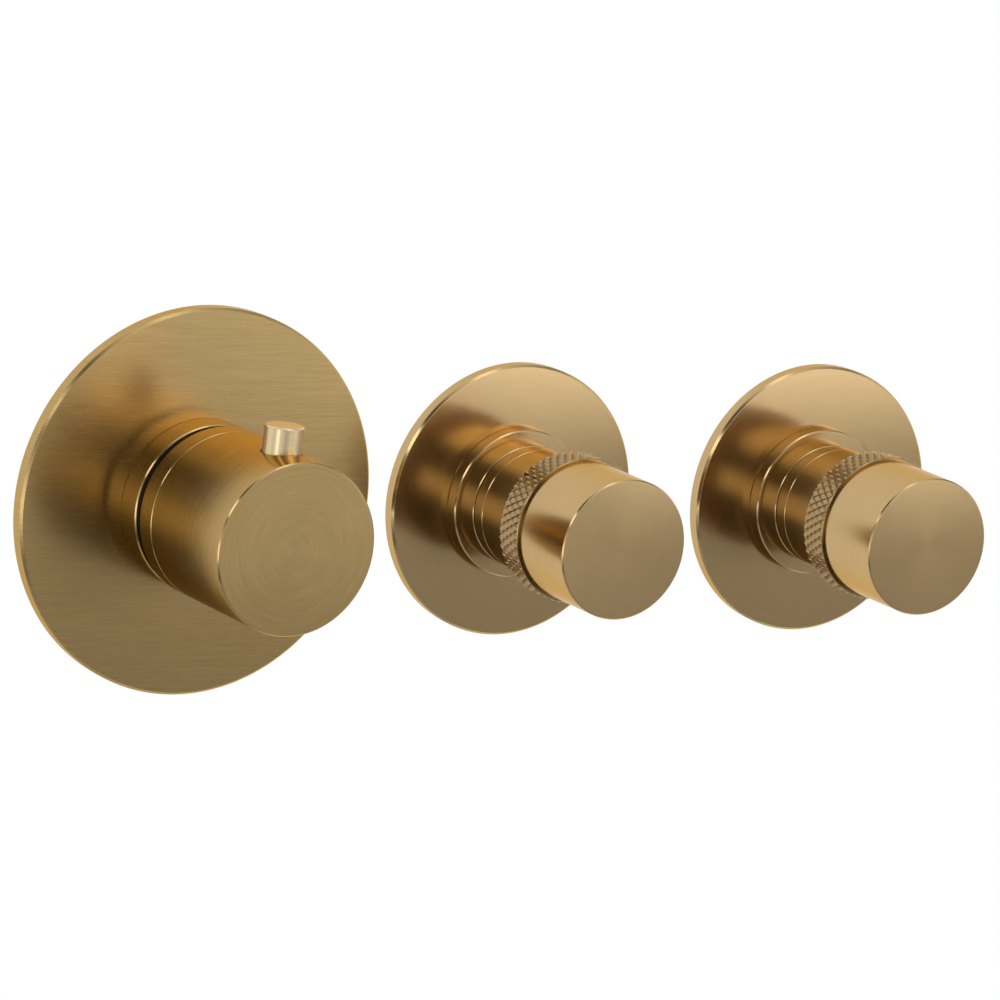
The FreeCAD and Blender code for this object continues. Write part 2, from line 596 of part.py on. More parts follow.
def knob_base_ring():
    """Ring behind the seam, with the spigot that enters the knob."""
    spigot = TH_KNOB_BORE - SLIP
    return turned([(BASE_RING_BORE, KNOB_BACK), (TH_KNOB_RADIUS - EDGE, KNOB_BACK),
                   (TH_KNOB_RADIUS, KNOB_BACK + EDGE), (TH_KNOB_RADIUS, SEAM - FINE_EDGE),
                   (TH_KNOB_RADIUS - FINE_EDGE, SEAM), (spigot, SEAM), (spigot, SPIGOT_TOP),
                   (BASE_RING_BORE, SPIGOT_TOP)])


def knob_insert():
    """Splined hub and flange that carry the knob, with a slot for the safety catch."""
    hub_top = BUTTON_HEIGHT + BUTTON_FLANGE_RADIUS
    body = joined(rod(TH_HUB_RADIUS, SPLINE_START + CLEAR, hub_top, FINE_EDGE, FINE_EDGE),
                  rod(TH_KNOB_BORE - SLIP, SPIGOT_TOP, INSERT_FLANGE_TOP))
    bore = rod(SPLINE_RADIUS + SLIP, 0.0, SPLINE_START + SPLINE_LENGTH + CLEAR)
    stem_hole = sideways(rod(BUTTON_STEM_RADIUS + CLEAR, TH_HUB_RADIUS / 3, TH_KNOB_BORE),
                         TO_TOP, BUTTON_HEIGHT)
    slot_floor = CATCH_UNDER - BUTTON_TRAVEL - CLEAR
    slot = block(CATCH_WIDTH + 2 * CLEAR, TH_KNOB_RADIUS, 0.0, hub_top)
    slot = offset(slot, y=slot_floor + TH_KNOB_RADIUS / 2)
    dimple = grub_hole(GRUB_TIP, GRUB_LEVEL, TH_KNOB_RADIUS)
    return body.cut(joined(bore, stem_hole, slot)).cut(dimple)


def temperature_spindle():
    """Spindle: drive thread in the cartridge, shoulder, plain stem and spline."""
    shoulder = DRIVE_THREAD_RADIUS + SHOULDER
    hollow = rod(PLUNGER_RADIUS + CLEAR, THREAD_FOOT - BEYOND,
                 THREAD_FOOT + PLUNGER_REACH + PLUNGER_ROOM)
    form = joined(rod(DRIVE_THREAD_RADIUS, THREAD_FOOT, THREAD_TOP, FINE_EDGE),
                  rod(shoulder, THREAD_TOP, CROWN_UNDER - RUN),
                  rod(SPINDLE_RADIUS, THREAD_TOP, SPLINE_START),
                  rod(SPLINE_RADIUS, SPLINE_START, SPLINE_START + SPLINE_LENGTH, 0.0, EDGE))
    return form.cut(hollow)


def safety_button():
    """Round button drawn along its own axis, from its stem's tip to its top."""
    under_head = CATCH_TOP
    tip = TH_HUB_RADIUS - CLEAR
    head = rod(BUTTON_RADIUS, under_head, BUTTON_TOP, 0.0, EDGE)
    flange = rod(BUTTON_FLANGE_RADIUS, under_head, BUTTON_FLANGE_TOP)
    return sideways(joined(head, flange, rod(BUTTON_STEM_RADIUS, tip, under_head + BUTTON_FLANGE)),
                    TO_TOP, BUTTON_HEIGHT)


def safety_catch():
    """Flat catch under the button, whose arm reaches back to the stop ring's lug."""
    ring = sideways(tube(BUTTON_FLANGE_RADIUS, BUTTON_STEM_RADIUS + SLIP, CATCH_UNDER, CATCH_TOP),
                    TO_TOP, BUTTON_HEIGHT)
    arm_foot = STOP_RING_TOP + STOP_LUG_HEIGHT + CLEAR
    arm_top = BUTTON_HEIGHT - BUTTON_STEM_RADIUS - CLEAR
    arm = block(CATCH_WIDTH, CATCH_THICKNESS, arm_foot, arm_top)
    return joined(ring, offset(arm, y=CATCH_UNDER + CATCH_THICKNESS / 2))


def button_spring():
    spring = coil(BUTTON_STEM_RADIUS + BUTTON_SPRING_ROOM, SPRING_WIRE, TH_HUB_RADIUS + CLEAR / 2,
                  CATCH_UNDER, SPRING_TURNS)
    return sideways(spring, TO_TOP, BUTTON_HEIGHT)


def shuttle():
    """Ring that opens the hot windows as it closes the cold ones, with its web."""
    ring = tube(SHUTTLE_RADIUS, SHUTTLE_RADIUS - SHUTTLE_RING, SHUTTLE_FOOT,
                SHUTTLE_FOOT + SHUTTLE_LENGTH, FINE_EDGE, FINE_EDGE)
    web = tube(SHUTTLE_RADIUS - SHUTTLE_UNDERCUT, ELEMENT_RADIUS + SLIP, WEB_FOOT, WEB_TOP)
    flow = offset(rod(SHUTTLE_FLOW_RADIUS, WEB_FOOT - BEYOND, WEB_TOP + BEYOND),
                  x=(SHUTTLE_RADIUS - SHUTTLE_RING + ELEMENT_RADIUS) / 2)
    return joined(ring, web).cut(joined(*around(flow, SHUTTLE_FLOW_HOLES)))


def wax_element():
    """Wax bulb through the shuttle's web, its flange on the web and its plunger above."""
    flange_top = WEB_TOP + ELEMENT_FLANGE
    return joined(rod(ELEMENT_RADIUS, WEB_TOP - ELEMENT_LENGTH, flange_top, EDGE),
                  rod(ELEMENT_RADIUS + ELEMENT_FLANGE, WEB_TOP, flange_top),
                  rod(PLUNGER_RADIUS, WEB_TOP, THREAD_FOOT + PLUNGER_REACH, 0.0, FINE_EDGE))


def drive_nut():
    foot = DRIVE_NUT_FOOT
    nut = tube(DRIVE_NUT_RADIUS, DRIVE_THREAD_RADIUS + RUN, foot, foot + DRIVE_NUT_LENGTH,
               FINE_EDGE, FINE_EDGE)
    key = block(DRIVE_KEY_LENGTH, DRIVE_KEY_WIDTH, foot, foot + DRIVE_NUT_LENGTH)
    return joined(nut, *around(offset(key, x=DRIVE_NUT_RADIUS), 2))


def overload_spring():
    return coil(ELEMENT_RADIUS + OVERLOAD_SPRING_ROOM, SPRING_WIRE, WEB_TOP, DRIVE_NUT_FOOT,
                RETURN_SPRING_TURNS)


def return_spring():
    radius = CARTRIDGE_INNER - CARTRIDGE_WALL / 2
    return coil(radius, SPRING_WIRE, CARTRIDGE_FOOT + CARTRIDGE_LIP, SHUTTLE_FOOT,
                RETURN_SPRING_TURNS)


# ---- stop valves ----

def stop_housing(sides):
    outlet_boss, outlet_hollow = pipe_port(OUTLET_REACH, OUTLET_REACH - PORT_LENGTH,
                                           TO_TOP, OUTLET)
    unions = [union(ST_UNION_REACH, side) for side in sides]
    body = joined(rod(ST_BARREL_RADIUS, RAIL_FRONT, ST_NECK_START, EDGE, EDGE),
                  rod(ST_NECK_RADIUS, ST_NECK_START, NECK_TOP, 0.0, EDGE),
                  outlet_boss, *[stub for stub, hollow in unions])
    bore = turned([(0.0, CHAMBER_FLOOR), (ST_CHAMBER_RADIUS, CHAMBER_FLOOR),
                   (ST_CHAMBER_RADIUS, SEAT - ST_PARTITION), (SEAT_PORT, SEAT - ST_PARTITION),
                   (SEAT_PORT, SEAT), (HEADWORK_RADIUS + SLIP, SEAT),
                   (HEADWORK_RADIUS + SLIP, SEAT + SEAT_RECESS),
                   (ST_CHAMBER_RADIUS, SEAT + SEAT_RECESS),
                   (ST_CHAMBER_RADIUS, OUTLET_CHAMBER_TOP),
                   (HEADWORK_RADIUS + SLIP, OUTLET_CHAMBER_TOP),
                   (HEADWORK_RADIUS + SLIP, NECK_TOP + BEYOND), (0.0, NECK_TOP + BEYOND)])
    hollows = [hollow for stub, hollow in unions]
    return body.cut(joined(bore, outlet_hollow, *hollows, *rail_screw_holes(ST_CHAMBER_RADIUS)))


def stop_disc():
    """Raised disc on the rosette, with the tube that passes through it."""
    foot = -NECK_BELOW_WALL / 2
    return turned([(ST_DISC_BORE, foot), (ST_DISC_LINER, foot),
                   (ST_DISC_LINER, ST_ROSETTE_THICKNESS),
                   (ST_DISC_RADIUS - FINE_EDGE, ST_ROSETTE_THICKNESS),
                   (ST_DISC_RADIUS, ST_ROSETTE_THICKNESS + FINE_EDGE),
                   (ST_DISC_RADIUS, DISC_TOP - EDGE), (ST_DISC_RADIUS - EDGE, DISC_TOP),
                   (ST_DISC_BORE, DISC_TOP)])


def cover_sleeve():
    """Fixed sleeve up to the dark groove, with the spigot that enters the raised disc."""
    spigot = ST_DISC_BORE - SLIP
    inside = spigot - ST_SLEEVE_WALL
    bore = HEADWORK_SNOUT_RADIUS + SLIP
    return turned([(bore, 0.0), (spigot, 0.0), (spigot, DISC_TOP), (ST_STEM_RADIUS, DISC_TOP),
                   (ST_STEM_RADIUS, COVER_TOP - FINE_EDGE),
                   (ST_STEM_RADIUS - FINE_EDGE, COVER_TOP),
                   (inside, COVER_TOP), (inside, HEADWORK_SNOUT_HEIGHT / 2),
                   (bore, HEADWORK_SNOUT_HEIGHT / 2)])


def headwork_body():
    """Brass headwork: a windowed cage round the discs, a thread, a hexagon and a snout."""
    stem_bore = SPINDLE_RADIUS + RUN
    hex_foot = NECK_TOP + SEAT_SEAL
    body = joined(tube(HEADWORK_RADIUS, CAGE_BORE, SEAT, DRIVER_TOP),
                  tube(HEADWORK_RADIUS, stem_bore, DRIVER_TOP, hex_foot),
                  hexagon(HEADWORK_HEX_FLATS, hex_foot, hex_foot + HEADWORK_HEX),
                  rod(HEADWORK_SNOUT_RADIUS, hex_foot, HEADWORK_SNOUT_HEIGHT, 0.0, EDGE))
    window = block(WINDOW_WIDTH, 3 * HEADWORK_RADIUS, TURNING_DISC_TOP + RUN,
                   DRIVER_TOP - BEYOND)
    return body.cut(rod(stem_bore, DRIVER_TOP - BEYOND, ST_KNOB_FRONT)).cut(window)


def headwork_seal():
    return tube(ST_NECK_RADIUS - SEAT_SEAL_STEP, HEADWORK_RADIUS + SLIP,
                NECK_TOP, NECK_TOP + SEAT_SEAL)


def ceramic_disc(low):
    """Disc with two opposed ports."""
    disc = rod(CAGE_BORE - SLIP, low, low + DISC_THICKNESS)
    port = rod(DISC_PORT_RADIUS, low - BEYOND, low + DISC_THICKNESS + BEYOND)
    return disc.cut(joined(*around(offset(port, x=DISC_PORT_REACH), 2)))


def stop_spindle():
    """Spindle: driver on the turning disc, plain stem and spline."""
    return joined(rod(CAGE_BORE - DRIVER_STEP, TURNING_DISC_TOP, DRIVER_TOP - RUN),
                  rod(SPINDLE_RADIUS, TURNING_DISC_TOP, ST_INSERT_START),
                  rod(SPLINE_RADIUS, ST_INSERT_START, SPLINE_TOP, 0.0, EDGE))


def handle_stem():
    """Turning sleeve of the handle, with the core that carries the ring and the knob."""
    step = STEM_FOOT + ST_STEP_HEIGHT
    groove = ST_STEM_RADIUS - ST_STEP_DEPTH
    body = turned([(ST_CORE_BORE, STEM_FOOT), (ST_STEM_RADIUS - FINE_EDGE, STEM_FOOT),
                   (ST_STEM_RADIUS, STEM_FOOT + FINE_EDGE), (ST_STEM_RADIUS, step),
                   (groove, step + ST_STEP_DEPTH), (ST_STEM_RADIUS, step + 2 * ST_STEP_DEPTH),
                   (ST_STEM_RADIUS, STEM_TOP), (ST_CORE_RADIUS, STEM_TOP),
                   (ST_CORE_RADIUS, ST_CORE_TOP), (ST_CORE_BORE, ST_CORE_TOP)])
    return body.cut(grub_hole(SPLINE_RADIUS, ST_GRUB_LEVEL, ST_KNURL_RADIUS))


def knurled_ring():
    return tube(ST_KNURL_RADIUS, ST_CORE_RADIUS + SLIP, STEM_TOP, KNURL_TOP,
                ST_KNURL_EDGE, ST_KNURL_EDGE)


def handle_knob():
    """Closed front of the handle, pushed over the stem's core."""
    bore = ST_CORE_RADIUS + SLIP
    neck = ST_KNOB_RADIUS - ST_NECK_STEP
    return turned([(0.0, ST_CORE_TOP + SLIP), (bore, ST_CORE_TOP + SLIP), (bore, KNURL_TOP),
                   (neck, KNURL_TOP), (neck, ST_KNOB_FOOT), (ST_KNOB_RADIUS, ST_KNOB_FOOT),
                   (ST_KNOB_RADIUS, ST_KNOB_FRONT - EDGE), (ST_KNOB_RADIUS - EDGE, ST_KNOB_FRONT),
                   (0.0, ST_KNOB_FRONT)])


def handle_insert():
    insert = tube(ST_CORE_BORE - SLIP, SPLINE_RADIUS + SLIP, ST_INSERT_START,
                  SPLINE_TOP, FINE_EDGE, FINE_EDGE)
    return insert.cut(grub_hole(ST_GRUB_TIP, ST_GRUB_LEVEL, ST_KNURL_RADIUS))


# ---- the row: gallery and rail ----

def gallery_run(from_x, from_reach, to_x, to_reach):
    """Start and end of a gallery tube along the row."""
    return from_x + from_reach - UNION_SOCKET, to_x - to_reach + UNION_SOCKET


def along_row(shape, x):
    """Set a piece drawn along its own axis on the gallery's axis, pointing right."""
    return set_in_row(sideways(shape, TO_RIGHT, GALLERY), x)


def gallery_tube(start, end):
    return along_row(tube(GALLERY_TUBE_RADIUS, GALLERY_TUBE_RADIUS - GALLERY_TUBE_WALL,
                          0.0, end - start), start)


def union_nut():
    """Nut that draws a tube into a stub, drawn from the stub's side."""
    thread = UNION_NUT_LENGTH - UNION_NUT_LIP
    nut = hexagon(UNION_NUT_FLATS, 0.0, UNION_NUT_LENGTH)
    return nut.cut(joined(rod(UNION_RADIUS + SLIP, -BEYOND, thread),
                          rod(GALLERY_TUBE_RADIUS + SLIP, 0.0, UNION_NUT_LENGTH + BEYOND)))


def union_nuts(stubs):
    """One nut on each stub: its mouth's place along the row, and which way it faces."""
    nuts = []
    for mouth, facing in stubs:
        nut = offset(union_nut(), z=UNION_SHOULDER - UNION_LENGTH + SLIP)
        if facing < 0:
            nut.rotate(ORIGIN, X_AXIS, 180)
        nuts.append(along_row(nut, mouth))
    return Part.makeCompound(nuts)


def mounting_rail():
    length = 2 * PITCH + 2 * RAIL_OVERHANG
    plate = Part.makeBox(length, RAIL_THICKNESS, RAIL_HEIGHT,
                         FreeCAD.Vector(-length / 2, -RAIL_THICKNESS, -RAIL_HEIGHT / 2))
    corners = [edge for edge in plate.Edges
               if abs(edge.Vertexes[0].Point.y - edge.Vertexes[1].Point.y) > RAIL_THICKNESS / 2]
    plate = plate.makeFillet(RAIL_CORNER, corners)
    holes = []
    for x in (-PITCH / 2, PITCH / 2):
        for z in (-FIXING_ROW_GAP / 2, FIXING_ROW_GAP / 2):
            hole = Part.makeCylinder(FIXING_HOLE_RADIUS, 2 * RAIL_THICKNESS,
                                     FreeCAD.Vector(x, -1.5 * RAIL_THICKNESS, z), Y_AXIS)
            holes.append(hole)
    for x, bore in HOUSING_BORES:
        for side in (1, -1):
            seat = offset(rail_screw_form(SLIP), y=side * rail_screw_circle(bore))
            holes.append(set_in_row(seat, x))
    return plate.cut(joined(*holes))


def rail_screw_form(margin=0.0):
    """Countersunk screw from the rail's back face into a housing."""
    head = 2 * RAIL_SCREW_RADIUS
    back = -WALL_DEPTH
    cone = head - RAIL_SCREW_RADIUS
    return turned([(0.0, back), (head + margin, back), (RAIL_SCREW_RADIUS + margin, back + cone),
                   (RAIL_SCREW_RADIUS + margin, back + RAIL_SCREW_LENGTH),
                   (0.0, back + RAIL_SCREW_LENGTH)])


def rail_screws():
    socket = hexagon(RAIL_SCREW_SOCKET, -WALL_DEPTH - BEYOND,
                     RAIL_SCREW_SOCKET_DEPTH - WALL_DEPTH)
    screw = rail_screw_form().cut(socket)
    screws = []
    for x, bore in HOUSING_BORES:
        for side in (1, -1):
            screws.append(set_in_row(offset(screw, y=side * rail_screw_circle(bore)), x))
    return Part.makeCompound(screws)


# ---- places that depend on the pieces above ----
GRUB_LEVEL = SPIGOT_TOP + TH_INSERT_FLANGE / 2
GRUB_TIP = TH_KNOB_RADIUS - GRUB_LENGTH - EDGE
ST_GRUB_LEVEL = STEM_FOOT + 3 * ST_STEP_HEIGHT
ST_GRUB_TIP = ST_STEM_RADIUS - GRUB_LENGTH - EDGE
ROSETTES = ((LEFT, TH_ROSETTE_RADIUS), (MIDDLE, ST_ROSETTE_RADIUS), (RIGHT, ST_ROSETTE_RADIUS))
HOUSING_BORES = ((LEFT, CARTRIDGE_BORE), (MIDDLE, ST_CHAMBER_RADIUS), (RIGHT, ST_CHAMBER_RADIUS))


def thermostat_pieces():
    pieces = {
        "thermostat_housing": thermostat_housing(),
        "thermostat_rosette": rosette(TH_ROSETTE_RADIUS, TH_ROSETTE_THICKNESS,
                                      TH_ROSETTE_BEVEL, COLLAR_LINER + SLIP),
        "thermostat_collar": thermostat_collar(),
        "stop_ring": stop_ring(),
        "cartridge_sleeve": cartridge_sleeve(),
        "cartridge_nut": cartridge_nut(),
        "cartridge_o_rings": cartridge_rings(),
        "thermostat_knob": thermostat_knob(),
        "knob_base_ring": knob_base_ring(),
        "knob_insert": knob_insert(),
        "knob_grub_screw": sideways(grub_screw(GRUB_TIP), TO_BOTTOM, GRUB_LEVEL),
        "temperature_spindle": temperature_spindle(),
        "safety_button": safety_button(),
        "safety_catch": safety_catch(),
        "button_spring": button_spring(),
        "shuttle": shuttle(),
        "wax_element": wax_element(),
        "drive_nut": drive_nut(),
        "overload_spring": overload_spring(),
        "return_spring": return_spring(),
        "inlet_strainers": Part.makeCompound([sideways(strainer(), TO_LEFT, HOT),
                                              sideways(strainer(), TO_BOTTOM, COLD)]),
    }
    for name, angle, height in (("hot", TO_LEFT, HOT), ("cold", TO_BOTTOM, COLD)):
        pieces[name + "_check_body"] = sideways(check_valve_body(), angle, height)
        pieces[name + "_check_poppet"] = sideways(check_poppet(), angle, height)
        pieces[name + "_check_spring"] = sideways(check_spring(), angle, height)
    return pieces


def stop_valve_pieces(name, sides):
    return {
        name + "_housing": stop_housing(sides),
        name + "_rosette": rosette(ST_ROSETTE_RADIUS, ST_ROSETTE_THICKNESS,
                                   ST_ROSETTE_BEVEL, ST_DISC_LINER + SLIP),
        name + "_raised_disc": stop_disc(),
        name + "_cover_sleeve": cover_sleeve(),
        name + "_headwork_body": headwork_body(),
        name + "_fixed_disc": ceramic_disc(SEAT),
        name + "_turning_disc": turned_quarter(ceramic_disc(TURNING_DISC_FOOT)),
        name + "_spindle": stop_spindle(),
        name + "_handle_stem": handle_stem(),
        name + "_knurled_ring": knurled_ring(),
        name + "_handle_knob": handle_knob(),
        name + "_handle_insert": handle_insert(),
    }


def row_pieces():
    first_start, first_end = gallery_run(LEFT, TH_UNION_REACH, MIDDLE, ST_UNION_REACH)
    second_start, second_end = gallery_run(MIDDLE, ST_UNION_REACH, RIGHT, ST_UNION_REACH)
    stubs = ((LEFT + TH_UNION_REACH, 1), (MIDDLE - ST_UNION_REACH, -1),
             (MIDDLE + ST_UNION_REACH, 1), (RIGHT - ST_UNION_REACH, -1))
    seats = (MIDDLE, RIGHT)
    grub = sideways(grub_screw(ST_GRUB_TIP), TO_BOTTOM, ST_GRUB_LEVEL)
    return {
        "mounting_rail": mounting_rail(),
        "rail_screws": rail_screws(),
        "left_gallery_tube": gallery_tube(first_start, first_end),
        "right_gallery_tube": gallery_tube(second_start, second_end),
        "union_nuts": union_nuts(stubs),
        "headwork_seals": Part.makeCompound([set_in_row(headwork_seal(), x) for x in seats]),
        "rosette_seals": Part.makeCompound([set_in_row(rosette_seal(radius), x)
                                            for x, radius in ROSETTES]),
        "middle_grub_screw": set_in_row(grub, MIDDLE),
        "right_grub_screw": set_in_row(grub, RIGHT),
    }


def all_pieces():
    pieces = {name: set_in_row(shape, LEFT) for name, shape in thermostat_pieces().items()}
    for name, x, sides in (("middle", MIDDLE, (TO_LEFT, TO_RIGHT)), ("right", RIGHT, (TO_LEFT,))):
        for piece, shape in stop_valve_pieces(name, sides).items():
            pieces[piece] = set_in_row(shape, x)
    pieces.update(row_pieces())
    return pieces


os.makedirs("parts", exist_ok=True)
for piece_name, piece_shape in all_pieces().items():
    piece_shape.exportStep("parts/" + piece_name + ".step")
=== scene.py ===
import json
import math

import bpy
from mathutils import Matrix, Vector


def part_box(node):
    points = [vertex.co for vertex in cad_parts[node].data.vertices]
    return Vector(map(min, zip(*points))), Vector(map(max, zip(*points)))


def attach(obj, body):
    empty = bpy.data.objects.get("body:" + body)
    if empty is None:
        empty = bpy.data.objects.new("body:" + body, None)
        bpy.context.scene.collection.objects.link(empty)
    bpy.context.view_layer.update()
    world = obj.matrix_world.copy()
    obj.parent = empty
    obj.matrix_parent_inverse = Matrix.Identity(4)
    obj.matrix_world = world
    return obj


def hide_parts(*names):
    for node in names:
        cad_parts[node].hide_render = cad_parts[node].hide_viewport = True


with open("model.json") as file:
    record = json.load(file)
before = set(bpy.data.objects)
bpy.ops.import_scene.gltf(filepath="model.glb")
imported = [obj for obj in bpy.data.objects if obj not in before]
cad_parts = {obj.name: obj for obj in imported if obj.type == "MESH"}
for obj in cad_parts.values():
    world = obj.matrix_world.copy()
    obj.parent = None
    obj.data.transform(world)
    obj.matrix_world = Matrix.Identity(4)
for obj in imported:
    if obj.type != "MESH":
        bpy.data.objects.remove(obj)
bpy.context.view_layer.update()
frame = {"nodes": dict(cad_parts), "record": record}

# ---- lengths in metres that only the looks need ----
MM = 0.001
CRISP = 0.12 * MM               # rounding of a turned edge
BREAK = 0.25 * MM               # bevel of a back or seam edge
EASE = 0.40 * MM                # bevel of a front edge
GAP = 0.1 * MM                  # between pieces that sit in each other
ROUND_STEPS = 5                 # along a rounded edge
TURN_SEGMENTS, PLATE_SEGMENTS, BUTTON_SEGMENTS = 240, 360, 120
BRUSH_TURN = 100                # brush coordinates in one full turn
PIECE_SPACING, PLATE_SPACING, DRUM_SPACING, BUTTON_SPACING = 3 * MM, 5 * MM, 2 * MM, 1.5 * MM
NEAR_ZERO = 1e-7
NEAR = 1e-6

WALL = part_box("thermostat_rosette")[1].y      # finished wall plane
BODY_OF = {node: body for body, nodes in frame["record"]["behaviour"]["bodies"].items()
           for node in nodes}
SLOT_OF = {node: piece.data.materials[0].name.split(".")[0]
           for node, piece in frame["nodes"].items()}


# ---- turned pieces ----

STRAIGHT = 0.01                 # radians of turn that count as no corner
ROOM_SHARE = 0.48               # part of an edge that one rounding may take


def rounded(corners):
    """Points with normals along a profile; each corner is (radius, height, rounding).

    The metal lies on the left of the profile. A point is (place, normal, breaks after)."""
    points = []
    last = len(corners) - 1
    for index, (radius, height, rounding) in enumerate(corners):
        here = Vector((radius, height))
        into = (here - Vector(corners[index - 1][:2])).normalized() if index else None
        out = (Vector(corners[index + 1][:2]) - here).normalized() if index < last else None
        if into is None or out is None:
            way = out if into is None else into
            points.append((here, Vector((way.y, -way.x)), False))
            continue
        turn = math.atan2(into.x * out.y - into.y * out.x, into.dot(out))
        if abs(turn) < STRAIGHT:
            points.append((here, Vector((into.y, -into.x)), False))
            continue
        if rounding <= 0:
            points.append((here, Vector((into.y, -into.x)), True))
            points.append((here, Vector((out.y, -out.x)), False))
            continue
        room = min((here - Vector(corners[index - 1][:2])).length,
                   (Vector(corners[index + 1][:2]) - here).length) * ROOM_SHARE
        cut = min(rounding * abs(math.tan(turn / 2)), room)
        bend = math.copysign(cut / abs(math.tan(turn / 2)), turn)
        centre = here - into * cut + Vector((-into.y, into.x)) * bend
        first = Vector((into.y, -into.x))
        for step in range(ROUND_STEPS + 1):
            angle = turn * step / ROUND_STEPS
            c, s = math.cos(angle), math.sin(angle)
            normal = Vector((first.x * c - first.y * s, first.x * s + first.y * c))
            points.append((centre + normal * bend, normal, False))
    return points


def divided(points, longest):
    """The same profile with its long straight runs divided into equal pieces."""
    result = [points[0]]
    for (a, normal_a, breaks), (b, normal_b, breaks_b) in zip(points, points[1:]):
        pieces = 1 if breaks else max(1, math.ceil((b - a).length / longest))
        for k in range(1, pieces):
            share = k / pieces
            result.append((a.lerp(b, share), normal_a.lerp(normal_b, share).normalized(), False))
        result.append((b, normal_b, breaks_b))
    return result


class Surface:
    """Vertices with normals and faces with UVs, gathered for one mesh."""

    def __init__(self):
        self.points, self.normals, self.turns, self.faces, self.uvs = [], [], [], [], []

    def vertex(self, point, normal, turn):
        self.points.append(point)
        self.normals.append(normal)
        self.turns.append(turn)
        return len(self.points) - 1

    def face(self, corners, uvs):
        self.faces.append(corners)
        self.uvs.append(uvs)

    def build(self, name, node, finish, flat=False):
        """Make the mesh: it rides on its node's body and stands for the node."""
        mesh = bpy.data.meshes.new(name)
        mesh.from_pydata(self.points, [], self.faces)
        layer = mesh.uv_layers.new(name="brush")
        layer.data.foreach_set("uv", [n for uvs in self.uvs for uv in uvs for n in uv])
        turn = mesh.attributes.new("turn", "FLOAT_VECTOR", "POINT")
        turn.data.foreach_set("vector", [n for item in self.turns for n in item])
        if not flat:
            mesh.shade_smooth()
            mesh.normals_split_custom_set_from_vertices(self.normals)
        mesh.materials.append(finish)
        piece = bpy.data.objects.new(name, mesh)
        bpy.context.scene.collection.objects.link(piece)
        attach(piece, BODY_OF[node])
        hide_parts(node)


class Axis:
    """A turning axis: its origin, its way up, and the direction of its zero angle."""

    def __init__(self, origin, up, right):
        self.origin, self.up, self.right = Vector(origin), Vector(up), Vector(right)
        self.side = self.up.cross(self.right)

    def spoke(self, angle):
        return self.right * math.cos(angle) + self.side * math.sin(angle)

    def place(self, angle, radius, height):
        return self.origin + self.spoke(angle) * radius + self.up * height

    def facing(self, angle, outward, upward):
        return (self.spoke(angle) * outward + self.up * upward).normalized()


def wall_axis(x):
    """A valve's own axis: heights are measured from the finished wall into the room."""
    return Axis((x, WALL, 0.0), (0.0, -1.0, 0.0), (1.0, 0.0, 0.0))


def turn_profile(surface, axis, profile, segments, leaves_out=None):
    """Turn a profile about an axis; leaves_out(angle, radius, height) opens a window."""
    run = 0.0
    rows = []
    for index, (point, normal, breaks) in enumerate(profile):
        if index:
            run += (point - profile[index - 1][0]).length
        row = []
        for k in range(segments):
            angle = 2 * math.pi * k / segments
            row.append(surface.vertex(axis.place(angle, point.x, point.y),
                                      axis.facing(angle, normal.x, normal.y),
                                      (math.cos(angle), math.sin(angle), run / MM)))
        rows.append((row, run / MM, breaks, point))
    for (low, u0, breaks, a), (high, u1, _, b) in zip(rows, rows[1:]):
        if breaks:
            continue
        for k in range(segments):
            after = (k + 1) % segments
            angle = 2 * math.pi * (k + 0.5) / segments
            if leaves_out and leaves_out(angle, (a.x + b.x) / 2, (a.y + b.y) / 2):
                continue
            v0, v1 = k / segments * BRUSH_TURN, (k + 1) / segments * BRUSH_TURN
            if b.x < NEAR_ZERO:
                surface.face((low[k], low[after], high[k]), ((u0, v0), (u0, v1), (u1, v0)))
            elif a.x < NEAR_ZERO:
                surface.face((low[k], high[after], high[k]), ((u0, v0), (u1, v1), (u1, v0)))
            else:
                surface.face((low[k], low[after], high[after], high[k]),
                             ((u0, v0), (u0, v1), (u1, v1), (u1, v0)))


def size_of(node):
    """A turned node's axis place, radius, and the heights it spans from the wall."""
    low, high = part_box(node)
    return (low.x + high.x) / 2, (high.x - low.x) / 2, WALL - high.y, WALL - low.y


def turned_piece(node, corners, finish):
    """A turned piece that stands for its node: corners are (radius, height, rounding)."""
    surface = Surface()
    turn_profile(surface, wall_axis(size_of(node)[0]),
                 divided(rounded(corners), PIECE_SPACING), TURN_SEGMENTS)
    surface.build(node + "_turned", node, finish)


# ---- materials ----

def srgb(red, green, blue):
    def linear(value):
        value /= 255
        return value / 12.92 if value <= 0.04045 else ((value + 0.055) / 1.055) ** 2.4
    return (linear(red), linear(green), linear(blue), 1.0)


